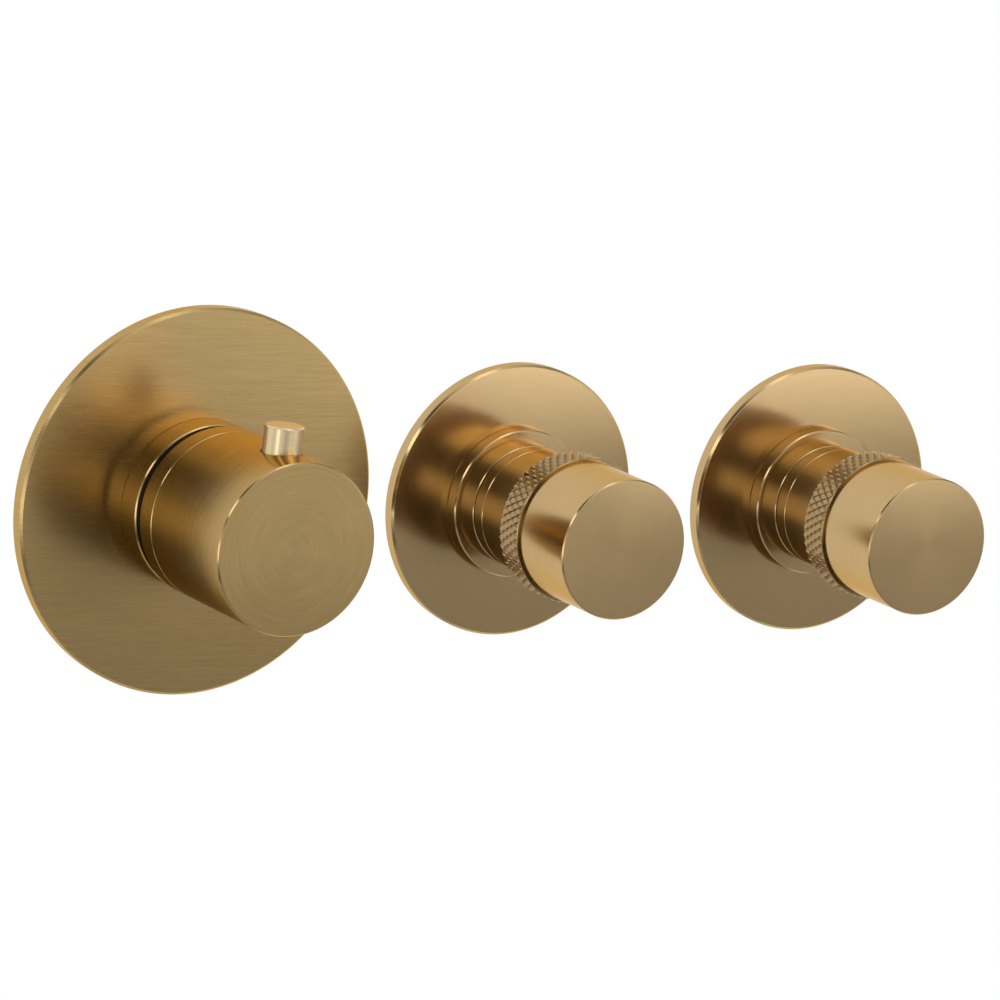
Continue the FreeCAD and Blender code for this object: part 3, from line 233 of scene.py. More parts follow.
class Nodes:
    """A material's node tree, with short ways to add and join nodes."""

    def __init__(self, name):
        self.material = bpy.data.materials.new(name)
        self.material.use_nodes = True
        self.tree = self.material.node_tree
        self.tree.nodes.clear()
        self.shader = self.add("ShaderNodeBsdfPrincipled")
        output = self.add("ShaderNodeOutputMaterial")
        self.join(self.shader, "BSDF", output, "Surface")

    def add(self, kind, **settings):
        node = self.tree.nodes.new(kind)
        for key, value in settings.items():
            setattr(node, key, value)
        return node

    def join(self, source, output, target, socket):
        self.tree.links.new(source.outputs[output], target.inputs[socket])

    def sets(self, node, **values):
        for key, value in values.items():
            node.inputs[key.replace("_", " ")].default_value = value

    def noise(self, source, output, scale, detail, roughness):
        mapping = self.add("ShaderNodeMapping")
        mapping.inputs["Scale"].default_value = scale
        self.join(source, output, mapping, "Vector")
        noise = self.add("ShaderNodeTexNoise")
        self.sets(noise, Scale=1.0, Detail=detail, Roughness=roughness)
        self.join(mapping, "Vector", noise, "Vector")
        return noise

    def spread(self, source, output, low, high, to_low, to_high):
        """Map a value's range to another, held at its ends."""
        node = self.add("ShaderNodeMapRange")
        for socket, value in (("From Min", low), ("From Max", high),
                              ("To Min", to_low), ("To Max", to_high)):
            node.inputs[socket].default_value = value
        self.join(source, output, node, "Value")
        return node

    def blend(self, factor, output, first, second):
        mix = self.add("ShaderNodeMix", data_type="RGBA")
        self.join(factor, output, mix, 0)
        mix.inputs[FIRST_COLOUR].default_value = first
        mix.inputs[SECOND_COLOUR].default_value = second
        return mix

    def sums(self, operation, a, a_output, b, b_output=None):
        node = self.add("ShaderNodeMath", operation=operation)
        self.join(a, a_output, node, 0)
        if b_output is None:
            node.inputs[1].default_value = b
        else:
            self.join(b, b_output, node, 1)
        return node

    def bumped(self, height, output, strength, distance):
        bump = self.add("ShaderNodeBump")
        self.sets(bump, Strength=strength, Distance=distance)
        self.join(height, output, bump, "Height")
        self.join(bump, "Normal", self.shader, "Normal")


# Noise scales of the marks along each axis: broad streaks, thin streaks and clouds. 'level' is
# per metre of the object, 'turned' and 'fine' are per step round, round and along the profile.
BRUSH_SCALES = {
    "level": ((35.0, 35.0, 1300.0), (120.0, 120.0, 6000.0), (22.0, 22.0, 40.0)),
    "turned": ((1.1, 1.1, 1.3), (3.0, 3.0, 6.0), (1.2, 1.2, 0.10)),
    "fine": ((2.2, 2.2, 4.0), (7.0, 7.0, 14.0), (1.2, 1.2, 0.10)),
}
BRUSH_DEPTH, GRAIN_DEPTH = 0.02 * MM, 0.2 * MM
ONE_NOISE, TWO_NOISES = (0.3, 0.7), (0.7, 1.3)      # usual reach of one noise, and of a sum of two
GRAIN_SWING = 0.07                                  # roughness either side of a grain's own
BROAD_GRAIN = 12                                    # how much coarser the broad grain is
FIRST_COLOUR, SECOND_COLOUR, MIXED = 6, 7, 2        # a colour mix's sockets


def brushed(name, marks, tones, rough, swing, bump, aniso, clouds, metallic=1.0):
    """Brushed brass. marks: 'turned' or 'fine' for spun marks, 'level' for straight ones."""
    nodes = Nodes(name)
    if marks == "level":
        source, output = nodes.add("ShaderNodeTexCoord"), "Object"
    else:
        source, output = nodes.add("ShaderNodeAttribute", attribute_name="turn"), "Vector"
    broad_scale, thin_scale, cloud_scale = BRUSH_SCALES[marks]
    broad = nodes.noise(source, output, broad_scale, 4.0, 0.62)
    thin = nodes.noise(source, output, thin_scale, 3.0, 0.7)
    cloud = nodes.noise(source, output, cloud_scale, 2.0, 0.5)
    grain = nodes.sums("ADD", broad, "Fac", thin, "Fac")
    tone = nodes.spread(grain, "Value", *TWO_NOISES, 0.0, 1.0)
    mottle = nodes.spread(cloud, "Fac", *ONE_NOISE, -clouds, clouds)
    shade = nodes.sums("ADD", tone, "Result", mottle, "Result")
    colour = nodes.blend(shade, "Value", *tones)
    nodes.join(colour, MIXED, nodes.shader, "Base Color")
    roughness = nodes.spread(thin, "Fac", *ONE_NOISE, rough - swing, rough + swing)
    nodes.join(roughness, "Result", nodes.shader, "Roughness")
    nodes.bumped(grain, "Value", bump, BRUSH_DEPTH)
    tangent = nodes.add("ShaderNodeTangent", direction_type="UV_MAP", uv_map="brush")
    nodes.join(tangent, "Tangent", nodes.shader, "Tangent")
    nodes.sets(nodes.shader, Metallic=metallic, Anisotropic=aniso, Specular_Tint=BRASS_EDGE)
    return nodes.material


def grained(name, light, dark, rough, grain, bump, metallic):
    """Cast, moulded, fired or machined finish with an even grain."""
    nodes = Nodes(name)
    place = nodes.add("ShaderNodeTexCoord")
    fine = nodes.noise(place, "Object", (grain,) * 3, 5.0, 0.65)
    broad = nodes.noise(place, "Object", (grain / BROAD_GRAIN,) * 3, 3.0, 0.55)
    both = nodes.sums("ADD", fine, "Fac", broad, "Fac")
    tone = nodes.spread(both, "Value", *TWO_NOISES, 0.0, 1.0)
    nodes.join(nodes.blend(tone, "Result", dark, light), MIXED, nodes.shader, "Base Color")
    roughness = nodes.spread(broad, "Fac", *ONE_NOISE, rough - GRAIN_SWING, rough + GRAIN_SWING)
    nodes.join(roughness, "Result", nodes.shader, "Roughness")
    nodes.bumped(fine, "Fac", bump, GRAIN_DEPTH)
    nodes.sets(nodes.shader, Metallic=metallic)
    return nodes.material


BRASS_EDGE = srgb(238, 212, 170)                    # at a glancing angle
BRASS = (srgb(180, 152, 103), srgb(198, 169, 115))
SATIN = (srgb(190, 162, 117), srgb(201, 173, 127))
# Paler brass for the safety button: a painted highlight that stands in for the bright cream
# reflection on it.
PAINTED_HIGHLIGHT_PALE = (srgb(224, 202, 158), srgb(238, 218, 176))

FINISH = {
    "plate_brass": brushed("plate_brushed_brass", "level", BRASS, 0.25, 0.03, 0.05, 0.5, 0.1),
    "turned_brass": brushed("turned_brushed_brass", "turned", BRASS, 0.18, 0.03, 0.08, 0.6,
                            0.1),
    "satin_brass": brushed("satin_brushed_brass", "fine", SATIN, 0.18, 0.02, 0.02, 0.25, 0.1),
    # The safety button's pale tones and part non-metallic shader are a painted highlight.
    "pin_brass": brushed("pin_brushed_brass", "turned", PAINTED_HIGHLIGHT_PALE, 0.22, 0.03, 0.05, 0.3, 0.1, 0.65),
    # The knurled ring's brass is a darker copy of the satin brass: painted shade for its grooves,
    # on top of the real shade of the cut grooves.
    "knurled_brass": grained("knurled_brass_cut", srgb(176, 150, 108), srgb(160, 135, 96),
                             0.22, 2500.0, 0.05, 1.0),
    "cast_brass": grained("cast_brass_raw", srgb(196, 164, 104), srgb(158, 126, 74), 0.46,
                          1400.0, 0.55, 1.0),
    "machined_brass": grained("machined_brass_raw", srgb(224, 192, 124), srgb(206, 172, 106),
                              0.27, 3500.0, 0.08, 1.0),
    "steel": grained("plated_steel", srgb(200, 202, 204), srgb(172, 174, 177), 0.36, 1800.0,
                     0.12, 1.0),
    "black_plastic": grained("black_moulding", srgb(28, 26, 25), srgb(16, 15, 14), 0.42,
                             2400.0, 0.10, 0.0),
    "white_plastic": grained("white_moulding", srgb(226, 223, 214), srgb(210, 206, 196), 0.40,
                             2000.0, 0.08, 0.0),
    "ceramic": grained("fired_ceramic", srgb(236, 232, 222), srgb(222, 217, 205), 0.22,
                       3000.0, 0.04, 0.0),
    "rubber": grained("black_rubber", srgb(32, 32, 33), srgb(20, 20, 21), 0.68, 1600.0,
                      0.15, 0.0),
}
for node, piece in frame["nodes"].items():
    piece.data.materials[0] = FINISH[SLOT_OF[node]]


# ---- plates, collar and discs ----

PLATE_RIM = 5.0 * MM
PLATE_RECESS = 2.5 * MM
COLLAR_BORE = 20.3 * MM
LINER = 1.6 * MM                # wall of the liner behind a collar or disc
COLLAR_LINER = COLLAR_BORE + LINER


def wall_plate(node, liner, bevel, straight):
    """Round wall plate round a liner, with a bevelled front edge and a hollow back."""
    x, radius, foot, front = size_of(node)
    bore = liner + GAP
    corners = [(bore, foot, 0), (bore + PLATE_RIM, foot, CRISP),
               (bore + PLATE_RIM, foot + PLATE_RECESS, 0),
               (radius - PLATE_RIM, foot + PLATE_RECESS, 0), (radius - PLATE_RIM, foot, CRISP),
               (radius - BREAK, foot, CRISP), (radius, foot + BREAK, CRISP),
               (radius, front - bevel, CRISP), (radius - bevel, front, CRISP),
               (bore, front, 0), (bore, foot, 0)]
    surface = Surface()
    turn_profile(surface, wall_axis(x), divided(rounded(corners), PLATE_SPACING),
                 PLATE_SEGMENTS)
    if straight:
        surface.uvs = [[(surface.points[v].z / MM, surface.points[v].x / MM) for v in face]
                       for face in surface.faces]
    finish = FINISH["plate_brass" if straight else "satin_brass"]
    surface.build(node + "_brushed", node, finish)


def bossed(node, bore, liner, bore_rounding, finish):
    """A collar or disc on a plate, with a thin liner that goes back through the plate."""
    x, radius, foot, front = size_of(node)
    plate_front = size_of(node.split("_")[0] + "_rosette")[3]
    turned_piece(node, [
        (bore, foot, 0), (liner, foot, CRISP), (liner, plate_front, 0),
        (radius - BREAK, plate_front, 0), (radius, plate_front + BREAK, CRISP),
        (radius, front - EASE, CRISP), (radius - EASE, front, CRISP),
        (bore, front, bore_rounding), (bore, foot, 0)], finish)


wall_plate("thermostat_rosette", COLLAR_LINER, 0.8 * MM, True)
bossed("thermostat_collar", COLLAR_BORE, COLLAR_LINER, CRISP, FINISH["turned_brass"])

KNOB_WALL, KNOB_CAP = 4.0 * MM, 4 * MM
RING_LIP = 1.7 * MM             # how far the base ring reaches in past the knob's bore
x, radius, ring_back, seam = size_of("knob_base_ring")
knob_low = size_of("thermostat_knob")[2]
KNOB_BORE = radius - KNOB_WALL
RING_BORE = KNOB_BORE - RING_LIP
turned_piece("knob_base_ring", [
    (RING_BORE, ring_back, CRISP), (radius - EASE, ring_back, CRISP),
    (radius, ring_back + EASE, CRISP), (radius, knob_low - BREAK, CRISP),
    (radius - BREAK, knob_low, CRISP), (KNOB_BORE - GAP, knob_low, 0),
    (KNOB_BORE - GAP, seam, CRISP), (RING_BORE, seam, CRISP), (RING_BORE, ring_back, 0)],
             FINISH["turned_brass"])


PATCH_RINGS = 6                 # rings of faces between a window's edge and its hole
PATCH_WIDTH, PATCH_HEIGHT = 1.25, 1.3               # half a window's size, in hole radii
HOLE_RUN = 4                    # brush coordinates down a hole's wall


def brush_place(turn, start):
    """Brush coordinates of a point from its turn, counted round from a start angle."""
    ahead = turn[0] * math.cos(start) + turn[1] * math.sin(start)
    aside = turn[1] * math.cos(start) - turn[0] * math.sin(start)
    return turn[2], math.atan2(aside, ahead) * BRUSH_TURN / (2 * math.pi)


def window_patch(surface, axis, radius, window, inner):
    """Fill a window in a cylinder with a patch that has a round hole, and the hole's wall."""
    angle, height, half_angle, half_height, hole, cells = window
    steps = 2 * cells
    count = 4 * steps
    outline = []
    for side in range(4):
        for k in range(steps):
            t = -1 + 2 * k / steps
            outline.append(((t, -1), (1, t), (-t, 1), (-1, -t))[side])
    rows = []
    for ring in range(PATCH_RINGS + 1):
        share = ring / PATCH_RINGS
        row = []
        for s, t in outline:
            way = math.atan2(t * half_height, s * half_angle * radius)
            square = (s * half_angle, t * half_height)
            circle = (math.asin(hole * math.cos(way) / radius), hole * math.sin(way))
            a = angle + square[0] * (1 - share) + circle[0] * share
            h = height + square[1] * (1 - share) + circle[1] * share
            row.append(surface.vertex(axis.place(a, radius, h), axis.facing(a, 1, 0),
                                      (math.cos(a), math.sin(a), h / MM)))
        rows.append(row)
    for low, high in zip(rows, rows[1:]):
        for k in range(count):
            corners = (low[k], low[(k + 1) % count], high[(k + 1) % count], high[k])
            surface.face(corners, [brush_place(surface.turns[v], angle) for v in corners])
    rim, foot = [], []
    out = axis.spoke(angle)
    tangent = axis.spoke(angle + math.pi / 2)
    for s, t in outline:
        way = math.atan2(t * half_height, s * half_angle * radius)
        edge = axis.place(angle + math.asin(hole * math.cos(way) / radius), radius,
                          height + hole * math.sin(way))
        inward = (tangent * math.cos(way) + axis.up * math.sin(way)) * -1
        deep = edge - out * (edge - axis.place(angle, inner, height)).dot(out)
        rim.append(surface.vertex(edge, inward, (math.cos(way), math.sin(way), 0.0)))
        foot.append(surface.vertex(deep, inward, (math.cos(way), math.sin(way), HOLE_RUN)))
    for k in range(count):
        surface.face((rim[k], rim[(k + 1) % count], foot[(k + 1) % count], foot[k]),
                     ((0, k), (0, k + 1), (HOLE_RUN, k + 1), (HOLE_RUN, k)))


def drum(node, corners, finish, holes, bore):
    """A turned piece with round holes through its side: (angle, height, hole radius)."""
    x, radius = size_of(node)[:2]
    axis = wall_axis(x)
    step = 2 * math.pi / TURN_SEGMENTS
    windows = []
    cuts = []
    for angle, height, hole in holes:
        cells = math.ceil(hole * PATCH_WIDTH / radius / step)
        half_height = hole * PATCH_HEIGHT
        windows.append((angle, height, cells * step, half_height, hole, cells))
        cuts += [height - half_height, height + half_height]
    profile = []
    points = divided(rounded(corners), DRUM_SPACING)
    for (a, normal, breaks), after in zip(points, points[1:] + [None]):
        profile.append((a, normal, breaks))
        if after is None or max(abs(a.x - radius), abs(after[0].x - radius)) > NEAR_ZERO:
            continue
        for cut in sorted(cuts):
            if a.y + NEAR < cut < after[0].y - NEAR:
                profile.append((Vector((radius, cut)), normal, False))

    def leaves_out(at, r, h):
        if abs(r - radius) >= NEAR:
            return False
        for angle, height, half_angle, half_height, hole, cells in windows:
            apart = (at - angle + math.pi) % (2 * math.pi) - math.pi
            if abs(apart) < half_angle and abs(h - height) < half_height:
                return True
        return False

    surface = Surface()
    turn_profile(surface, axis, profile, TURN_SEGMENTS, leaves_out)
    for window in windows:
        window_patch(surface, axis, radius, window, bore)
    surface.build(node + "_turned", node, finish)


TOP, BOTTOM = math.pi / 2, 3 * math.pi / 2
button_low, button_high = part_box("safety_button")
BUTTON_X = (button_low.x + button_high.x) / 2
BUTTON_HEIGHT = WALL - (button_low.y + button_high.y) / 2
BUTTON_RADIUS = 6.0 * MM
BUTTON_PLAY = 0.35 * MM


def grub_hole(node):
    """The hole for a grub screw at the bottom of a drum."""
    low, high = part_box(node)
    return BOTTOM, WALL - (low.y + high.y) / 2, (high.x - low.x) / 2 + GAP


x, radius, low, front = size_of("thermostat_knob")
drum("thermostat_knob", [
    (0.0, front - KNOB_CAP, 0), (KNOB_BORE, front - KNOB_CAP, 0), (KNOB_BORE, low, CRISP),
    (radius - BREAK, low, CRISP), (radius, low + BREAK, CRISP),
    (radius, front - EASE, CRISP), (radius - EASE, front, CRISP), (0.0, front, 0)],
     FINISH["turned_brass"],
     [(TOP, BUTTON_HEIGHT, BUTTON_RADIUS + BUTTON_PLAY), grub_hole("knob_grub_screw")],
     KNOB_BORE)

# ---- safety button ----
button_axis = Axis((BUTTON_X, WALL - BUTTON_HEIGHT, 0.0), (0.0, 0.0, 1.0), (1.0, 0.0, 0.0))
flange_radius = (button_high.x - button_low.x) / 2
flange_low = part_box("safety_catch")[1].z
flange_top = flange_low + 1.2 * MM
SHANK_RADIUS = 2.5 * MM
surface = Surface()
turn_profile(surface, button_axis, divided(rounded([
    (0.0, button_low.z, 0), (SHANK_RADIUS, button_low.z, CRISP), (SHANK_RADIUS, flange_low, 0),
    (flange_radius, flange_low, CRISP), (flange_radius, flange_top, CRISP),
    (BUTTON_RADIUS, flange_top, 0), (BUTTON_RADIUS, button_high.z - EASE, CRISP),
    (BUTTON_RADIUS - EASE, button_high.z, CRISP), (0.0, button_high.z, 0)]), BUTTON_SPACING),
             BUTTON_SEGMENTS)
surface.build("safety_button_turned", "safety_button", FINISH["pin_brass"])


# ---- stop valves ----

STUDS, STUD_CELLS = 52, 5       # studs round a knurled ring, mesh cells in half a stud
GROOVE_LEAN = math.radians(32.0)                    # of the grooves from the ring's axis
GROOVE_DEPTH, KNURL_BEVEL = 1.05 * MM, 0.5 * MM
STUD_SLOPE = 0.40               # part of the pitch over which a stud rises to its point
LIP = 0.20 * MM                 # smooth bevel in front of the knurl
END_GAP = 0.15                  # least part of a mesh cell left at the ring's ends


def knurled_ring(node, bore):
    """Ring cut with a diamond knurl: crossing grooves that leave pointed studs."""
    x, radius, low, high = size_of(node)
    axis = wall_axis(x)
    rise = 2 * math.pi * radius / STUDS / math.tan(GROOVE_LEAN)
    pitch_cells = 2 * STUD_CELLS
    columns = STUDS * pitch_cells
    cell = rise / pitch_cells
    middle = (low + high) / 2
    reach = math.ceil((high - low) / cell)
    levels = [middle + cell * k for k in range(-reach, reach + 1)]
    levels = [at for at in levels if low + END_GAP * cell < at < high - LIP - GAP]
    levels = [low] + levels + [high - LIP, high]

    def groove_places(column, height):
        """Where a place lies between the grooves of each way, from 0 to 1."""
        a, b = column / pitch_cells, (height - middle) / rise
        return (a + b) % 1.0, (a - b) % 1.0

    def stud_height(column, height):
        first, second = groove_places(column, height)
        near = min(first, 1 - first, second, 1 - second)
        return min(1.0, near / STUD_SLOPE)

    surface = Surface()
    rows = []
    for height in levels:
        row = []
        edge = min(height - low, high - height)
        cap = radius - max(0.0, KNURL_BEVEL - edge)
        smooth = height in levels[-2:]
        for column in range(columns):
            angle = 2 * math.pi * column / columns
            stud = radius - GROOVE_DEPTH * (1 - stud_height(column, height))
            r = cap if smooth else min(stud, cap)
            row.append(surface.vertex(axis.place(angle, r, height), axis.facing(angle, 1, 0),
                                      (math.cos(angle), math.sin(angle), height / MM)))
        rows.append((row, height))
    for (lower, h0), (upper, h1) in zip(rows, rows[1:]):
        for k in range(columns):
            after = (k + 1) % columns
            first, second = groove_places(k + 0.5, (h0 + h1) / 2)
            rising = min(second, 1 - second) < min(first, 1 - first)
            u0, u1 = h0 / MM, h1 / MM
            v0, v1 = k / columns * BRUSH_TURN, (k + 1) / columns * BRUSH_TURN
            if rising:
                surface.face((lower[k], lower[after], upper[after]),
                             ((u0, v0), (u0, v1), (u1, v1)))
                surface.face((lower[k], upper[after], upper[k]), ((u0, v0), (u1, v1), (u1, v0)))
            else:
                surface.face((lower[k], lower[after], upper[k]), ((u0, v0), (u0, v1), (u1, v0)))
                surface.face((lower[after], upper[after], upper[k]),
                             ((u0, v1), (u1, v1), (u1, v0)))
    for row, height, way in ((rows[0][0], low, -1), (rows[-1][0], high, 1)):
        inner = []
        for column in range(columns):
            angle = 2 * math.pi * column / columns
            inner.append(surface.vertex(axis.place(angle, bore, height),
                                        axis.facing(angle, 0, way),
                                        (math.cos(angle), math.sin(angle), 0.0)))
        for k in range(columns):
            after = (k + 1) % columns
            corners = (row[k], row[after], inner[after], inner[k])
            surface.face(corners if way > 0 else corners[::-1],
                         ((0, k), (0, k + 1), (3, k + 1), (3, k)))
    surface.build(node + "_cut", node, FINISH["knurled_brass"], flat=True)


CORE = 16.9 * MM                # radius of the stem inside the knurled ring
stem_bore = CORE - 3.9 * MM
disc_bore = CORE - 0.9 * MM
spigot = disc_bore - GAP
sleeve_bore = spigot - 2 * MM
ring_bore = CORE + GAP
STEP_HEIGHT = 4.6 * MM          # of the stem's faint step, from its foot
STEP_DEPTH = 0.2 * MM
NECK = 1.0 * MM                 # how far the knob's neck lies inside its side
SEAM = 0.1 * MM                 # between the knurled ring and the knob
for name in ("middle", "right"):
    wall_plate(name + "_rosette", disc_bore + LINER, 0.7 * MM, False)
    bossed(name + "_raised_disc", disc_bore, disc_bore + LINER, 0, FINISH["satin_brass"])

    disc_front = size_of(name + "_raised_disc")[3]
    x, radius, foot, front = size_of(name + "_cover_sleeve")
    turned_piece(name + "_cover_sleeve", [
        (sleeve_bore, foot, 0), (spigot, foot, 0), (spigot, disc_front, 0),
        (radius, disc_front, 0), (radius, front - BREAK, CRISP), (radius - BREAK, front, CRISP),
        (sleeve_bore, front, 0), (sleeve_bore, foot, 0)], FINISH["satin_brass"])

    x, radius, foot, top = size_of(name + "_handle_stem")
    shoulder, knurl_top = size_of(name + "_knurled_ring")[2:]
    step = foot + STEP_HEIGHT
    drum(name + "_handle_stem", [
        (stem_bore, foot, 0), (radius - BREAK, foot, CRISP), (radius, foot + BREAK, CRISP),
        (radius, step, 0), (radius - STEP_DEPTH, step + STEP_DEPTH, 0),
        (radius, step + 2 * STEP_DEPTH, 0), (radius, shoulder, 0), (CORE, shoulder, 0),
        (CORE, top, 0), (stem_bore, top, 0), (stem_bore, foot, 0)], FINISH["satin_brass"],
         [grub_hole(name + "_grub_screw")], stem_bore)

    knurled_ring(name + "_knurled_ring", ring_bore)

    x, radius, foot, front = size_of(name + "_handle_knob")
    turned_piece(name + "_handle_knob", [
        (0.0, top + GAP, 0), (ring_bore, top + GAP, 0), (ring_bore, knurl_top, 0),
        (radius - NECK, knurl_top, 0), (radius - NECK, knurl_top + SEAM, 0),
        (radius, knurl_top + SEAM, CRISP), (radius, front - EASE, CRISP),
        (radius - EASE, front, CRISP), (0.0, front, 0)], FINISH["satin_brass"])


# ---- camera ----
AZIMUTH, ELEVATION, ROLL = math.radians(32.34), math.radians(11.34), math.radians(6.79)
DISTANCE = 2.2
FRAME = 1000                    # pixels across the photograph, and up it
PIXELS_PER_MM = 3.2256          # at the target
CENTRE = (485.6, 497.3)         # pixel place of the target
SENSOR = 36.0                   # width in millimetres
FAR = 50.0
TARGET = Vector((-0.007, WALL, 0.0))
back = Vector((-math.sin(AZIMUTH) * math.cos(ELEVATION),
               -math.cos(AZIMUTH) * math.cos(ELEVATION), math.sin(ELEVATION)))
level = Vector((math.cos(AZIMUTH), -math.sin(AZIMUTH), 0.0))
upright = back.cross(level)
right = level * math.cos(ROLL) + upright * math.sin(ROLL)
up = upright * math.cos(ROLL) - level * math.sin(ROLL)
camera_data = bpy.data.cameras.new("photo_camera")
camera_data.sensor_width = SENSOR
camera_data.lens = SENSOR * PIXELS_PER_MM * DISTANCE / MM / FRAME
camera_data.shift_x = (FRAME / 2 - CENTRE[0]) / FRAME
camera_data.shift_y = (CENTRE[1] - FRAME / 2) / FRAME
camera_data.clip_end = FAR
camera = bpy.data.objects.new("photo_camera", camera_data)
bpy.context.scene.collection.objects.link(camera)
pose = Matrix((right, up, back)).transposed().to_4x4()
pose.translation = TARGET + back * DISTANCE
camera.matrix_world = pose
bpy.context.scene.camera = camera


# ---- stage, lights and world ----

def stage_sheet(name, corners, material):
    """A flat piece of the stage."""
    mesh = bpy.data.meshes.new(name)
    mesh.from_pydata(corners, [], [tuple(range(len(corners)))])
    mesh.materials.append(material)
    sheet = bpy.data.objects.new(name, mesh)
    bpy.context.scene.collection.objects.link(sheet)


def wall_paint(name):
    """White that camera, gloss and glass see at full strength; clear from behind."""
    nodes = Nodes(name)
    nodes.sets(nodes.shader, Roughness=0.9, Base_Color=(0.8, 0.8, 0.8, 1.0))
    path = nodes.add("ShaderNodeLightPath")
    seen = nodes.sums("MAXIMUM", path, "Is Camera Ray", path, "Is Glossy Ray")
    seen = nodes.sums("MAXIMUM", seen, "Value", path, "Is Transmission Ray")
    glow = nodes.add("ShaderNodeEmission")
    glow.inputs["Strength"].default_value = 1.0
    white = nodes.add("ShaderNodeMixShader")
    nodes.join(seen, "Value", white, 0)
    nodes.join(nodes.shader, "BSDF", white, 1)
    nodes.join(glow, "Emission", white, 2)
    clear = nodes.add("ShaderNodeBsdfTransparent")
    facing = nodes.add("ShaderNodeNewGeometry")
    result = nodes.add("ShaderNodeMixShader")
    nodes.join(facing, "Backfacing", result, 0)
    nodes.join(white, "Shader", result, 1)
    nodes.join(clear, "BSDF", result, 2)
    output = next(node for node in nodes.tree.nodes if node.type == "OUTPUT_MATERIAL")
    nodes.join(result, "Shader", output, "Surface")
    return nodes.material


def floor_paint(name):
    nodes = Nodes(name)
    nodes.sets(nodes.shader, Roughness=0.8)
    place = nodes.add("ShaderNodeTexCoord")
    speck = nodes.noise(place, "Object", (40.0, 40.0, 40.0), 3.0, 0.5)
    colour = nodes.blend(speck, "Fac", (0.74, 0.74, 0.73, 1), (0.78, 0.78, 0.77, 1))
    nodes.join(colour, MIXED, nodes.shader, "Base Color")
    return nodes.material


# The finished wall is the backdrop: the valve body lies behind its surface, as on a real wall.
WALL_REACH = 1.5
WALL_FACE = WALL - 0.2 * MM
FLOOR_LEVEL, FLOOR_REACH = -1.1, 1.2
SQUARE = ((-1, -1), (1, -1), (1, 1), (-1, 1))
stage_sheet("wall", [(a * WALL_REACH, WALL_FACE, b * WALL_REACH) for a, b in SQUARE],
            wall_paint("wall"))
stage_sheet("floor", [(a * FLOOR_REACH, b * FLOOR_REACH, FLOOR_LEVEL) for a, b in SQUARE],
            floor_paint("pale_floor"))


def softbox(name, shape, power, location, turn):
    """Area light; the caller sets its size."""
    data = bpy.data.lights.new(name, "AREA")
    data.shape = shape
    data.energy = power
    light = bpy.data.objects.new(name, data)
    bpy.context.scene.collection.objects.link(light)
    light.location = location
    light.rotation_euler = turn
    return data


def strip_light(name, low, high, level):
    """Level softbox that faces the wall; its two corners are in the plane in front of it."""
    width, height = high[0] - low[0], high[1] - low[1]
    centre = ((low[0] + high[0]) / 2, STRIP_PLANE, (low[1] + high[1]) / 2)
    data = softbox(name, "RECTANGLE", math.pi * width * height * level, centre,
                   (math.radians(90), 0.0, 0.0))
    data.size, data.size_y = width, height


def round_light(name, direction, level):
    """Round softbox that faces the object from a direction."""
    way = Vector(direction).normalized()
    data = softbox(name, "DISK", (math.pi * LAMP_RADIUS) ** 2 * level,
                   TARGET + way * LAMP_DISTANCE, way.to_track_quat("Z", "Y").to_euler())
    data.size = 2 * LAMP_RADIUS


# A lamp's level is the brightness of its face, where 1 is white.
STRIP_PLANE = WALL - 0.5
LAMP_DISTANCE, LAMP_RADIUS = 1.5, 0.22
strip_light("left_strip", (-0.05, -0.01), (0.26, 0.11), 1.1)
strip_light("left_top_strip", (-0.05, 0.11), (0.26, 0.30), 1.9)
strip_light("left_low_strip", (-0.05, -0.13), (0.26, -0.01), 0.33)
strip_light("right_strip", (0.26, -0.07), (1.10, 0.11), 1.85)
strip_light("right_top_strip", (0.26, 0.11), (1.10, 0.30), 0.65)
round_light("key", (-0.70, -0.54, 0.42), 2.4)
round_light("left", (-0.84, -0.48, -0.20), 1.2)
round_light("top", (0.10, -0.35, 0.93), 0.8)

# Levels of the world's light round the way into the wall: (degrees from +X towards +Z, level).
ROOM_RING = ((0, 0.20), (30, 0.20), (60, 0.80), (85, 1.10), (105, 0.80), (120, 0.15),
             (158, 0.10), (174, 0.75), (188, 1.05), (202, 0.80), (218, 0.15), (260, 0.08),
             (320, 0.20), (340, 0.40))
WALL_RING = ((0, 0.16), (30, 0.08), (80, 0.10), (104, 0.80), (118, 1.60), (134, 1.30),
             (148, 0.25), (170, 0.20), (200, 0.35), (225, 0.15), (260, 0.05), (320, 0.06))
ROOM_POLE, WALL_POLE = 0.70, 0.35
RING_MEETING = (-0.3, 0.3)      # where the rings meet, as a part of the way into the wall
POLE_EDGE = (0.93, 0.995)       # where a ring gives way to its pole


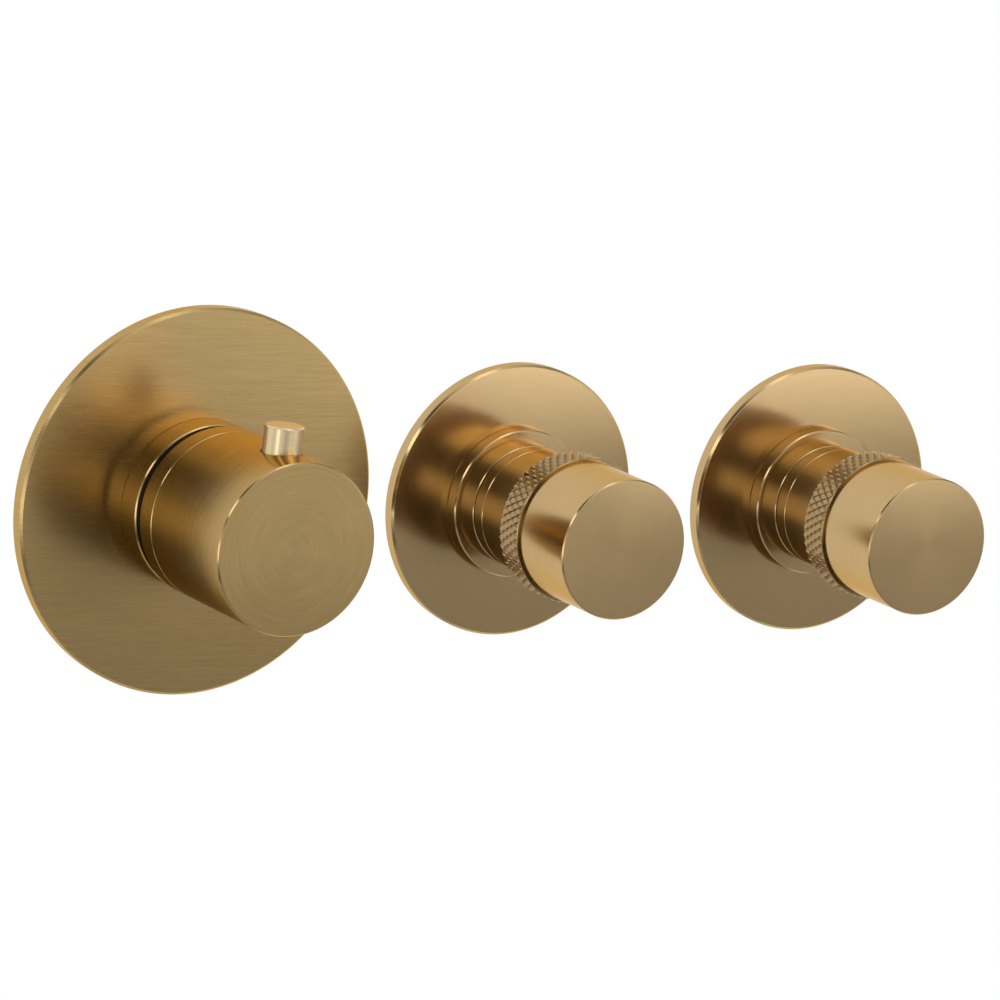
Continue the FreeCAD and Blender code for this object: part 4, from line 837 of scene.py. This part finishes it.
def world_light():
    """World of two rings of light: the room in front of the wall, and what lies behind it."""
    world = bpy.data.worlds.new("studio")
    bpy.context.scene.world = world
    world.use_nodes = True
    tree = world.node_tree
    tree.nodes.clear()

    def joined(kind, links, **settings):
        node = tree.nodes.new(kind)
        for key, value in settings.items():
            setattr(node, key, value)
        for socket, source in links.items():
            if isinstance(source, (int, float)):
                node.inputs[socket].default_value = source
            else:
                tree.links.new(source, node.inputs[socket])
        return node

    place = joined("ShaderNodeTexCoord", {})
    split = joined("ShaderNodeSeparateXYZ", {0: place.outputs["Generated"]})
    angle = joined("ShaderNodeMath", {0: split.outputs["Z"], 1: split.outputs["X"]},
                   operation="ARCTAN2")
    turns = joined("ShaderNodeMath", {0: angle.outputs[0], 1: 1 / (2 * math.pi), 2: 1.0},
                   operation="MULTIPLY_ADD")
    share = joined("ShaderNodeMath", {0: turns.outputs[0]}, operation="FRACT")

    def ring(name, levels):
        ramp = joined("ShaderNodeValToRGB", {"Fac": share.outputs[0]}, name=name)
        for degrees, level in levels[1:]:
            ramp.color_ramp.elements.new(degrees / 360)
        for stop, (degrees, level) in zip(ramp.color_ramp.elements, levels + levels[:1]):
            stop.color = (level, level, level, 1.0)
        return ramp.outputs["Color"]

    def mixed(factor, first, second):
        return joined("ShaderNodeMix", {0: factor, FIRST_COLOUR: first, SECOND_COLOUR: second},
                      data_type="RGBA").outputs[MIXED]

    def eased(source, low, high):
        return joined("ShaderNodeMapRange", {"Value": source, "From Min": low, "From Max": high},
                      interpolation_type="SMOOTHSTEP").outputs[0]

    wallward = eased(split.outputs["Y"], *RING_MEETING)
    rings = mixed(wallward, ring("room", ROOM_RING), ring("wall", WALL_RING))
    poles = joined("ShaderNodeValToRGB", {"Fac": wallward}, name="poles")
    for stop, level in zip(poles.color_ramp.elements, (ROOM_POLE, WALL_POLE)):
        stop.color = (level, level, level, 1.0)
    steep = joined("ShaderNodeMath", {0: split.outputs["Y"]}, operation="ABSOLUTE")
    light = mixed(eased(steep.outputs[0], *POLE_EDGE), rings, poles.outputs["Color"])
    shine = joined("ShaderNodeBackground", {"Color": light, "Strength": 1.0})
    joined("ShaderNodeOutputWorld", {"Surface": shine.outputs[0]})


world_light()

bpy.context.scene.view_settings.view_transform = "Standard"
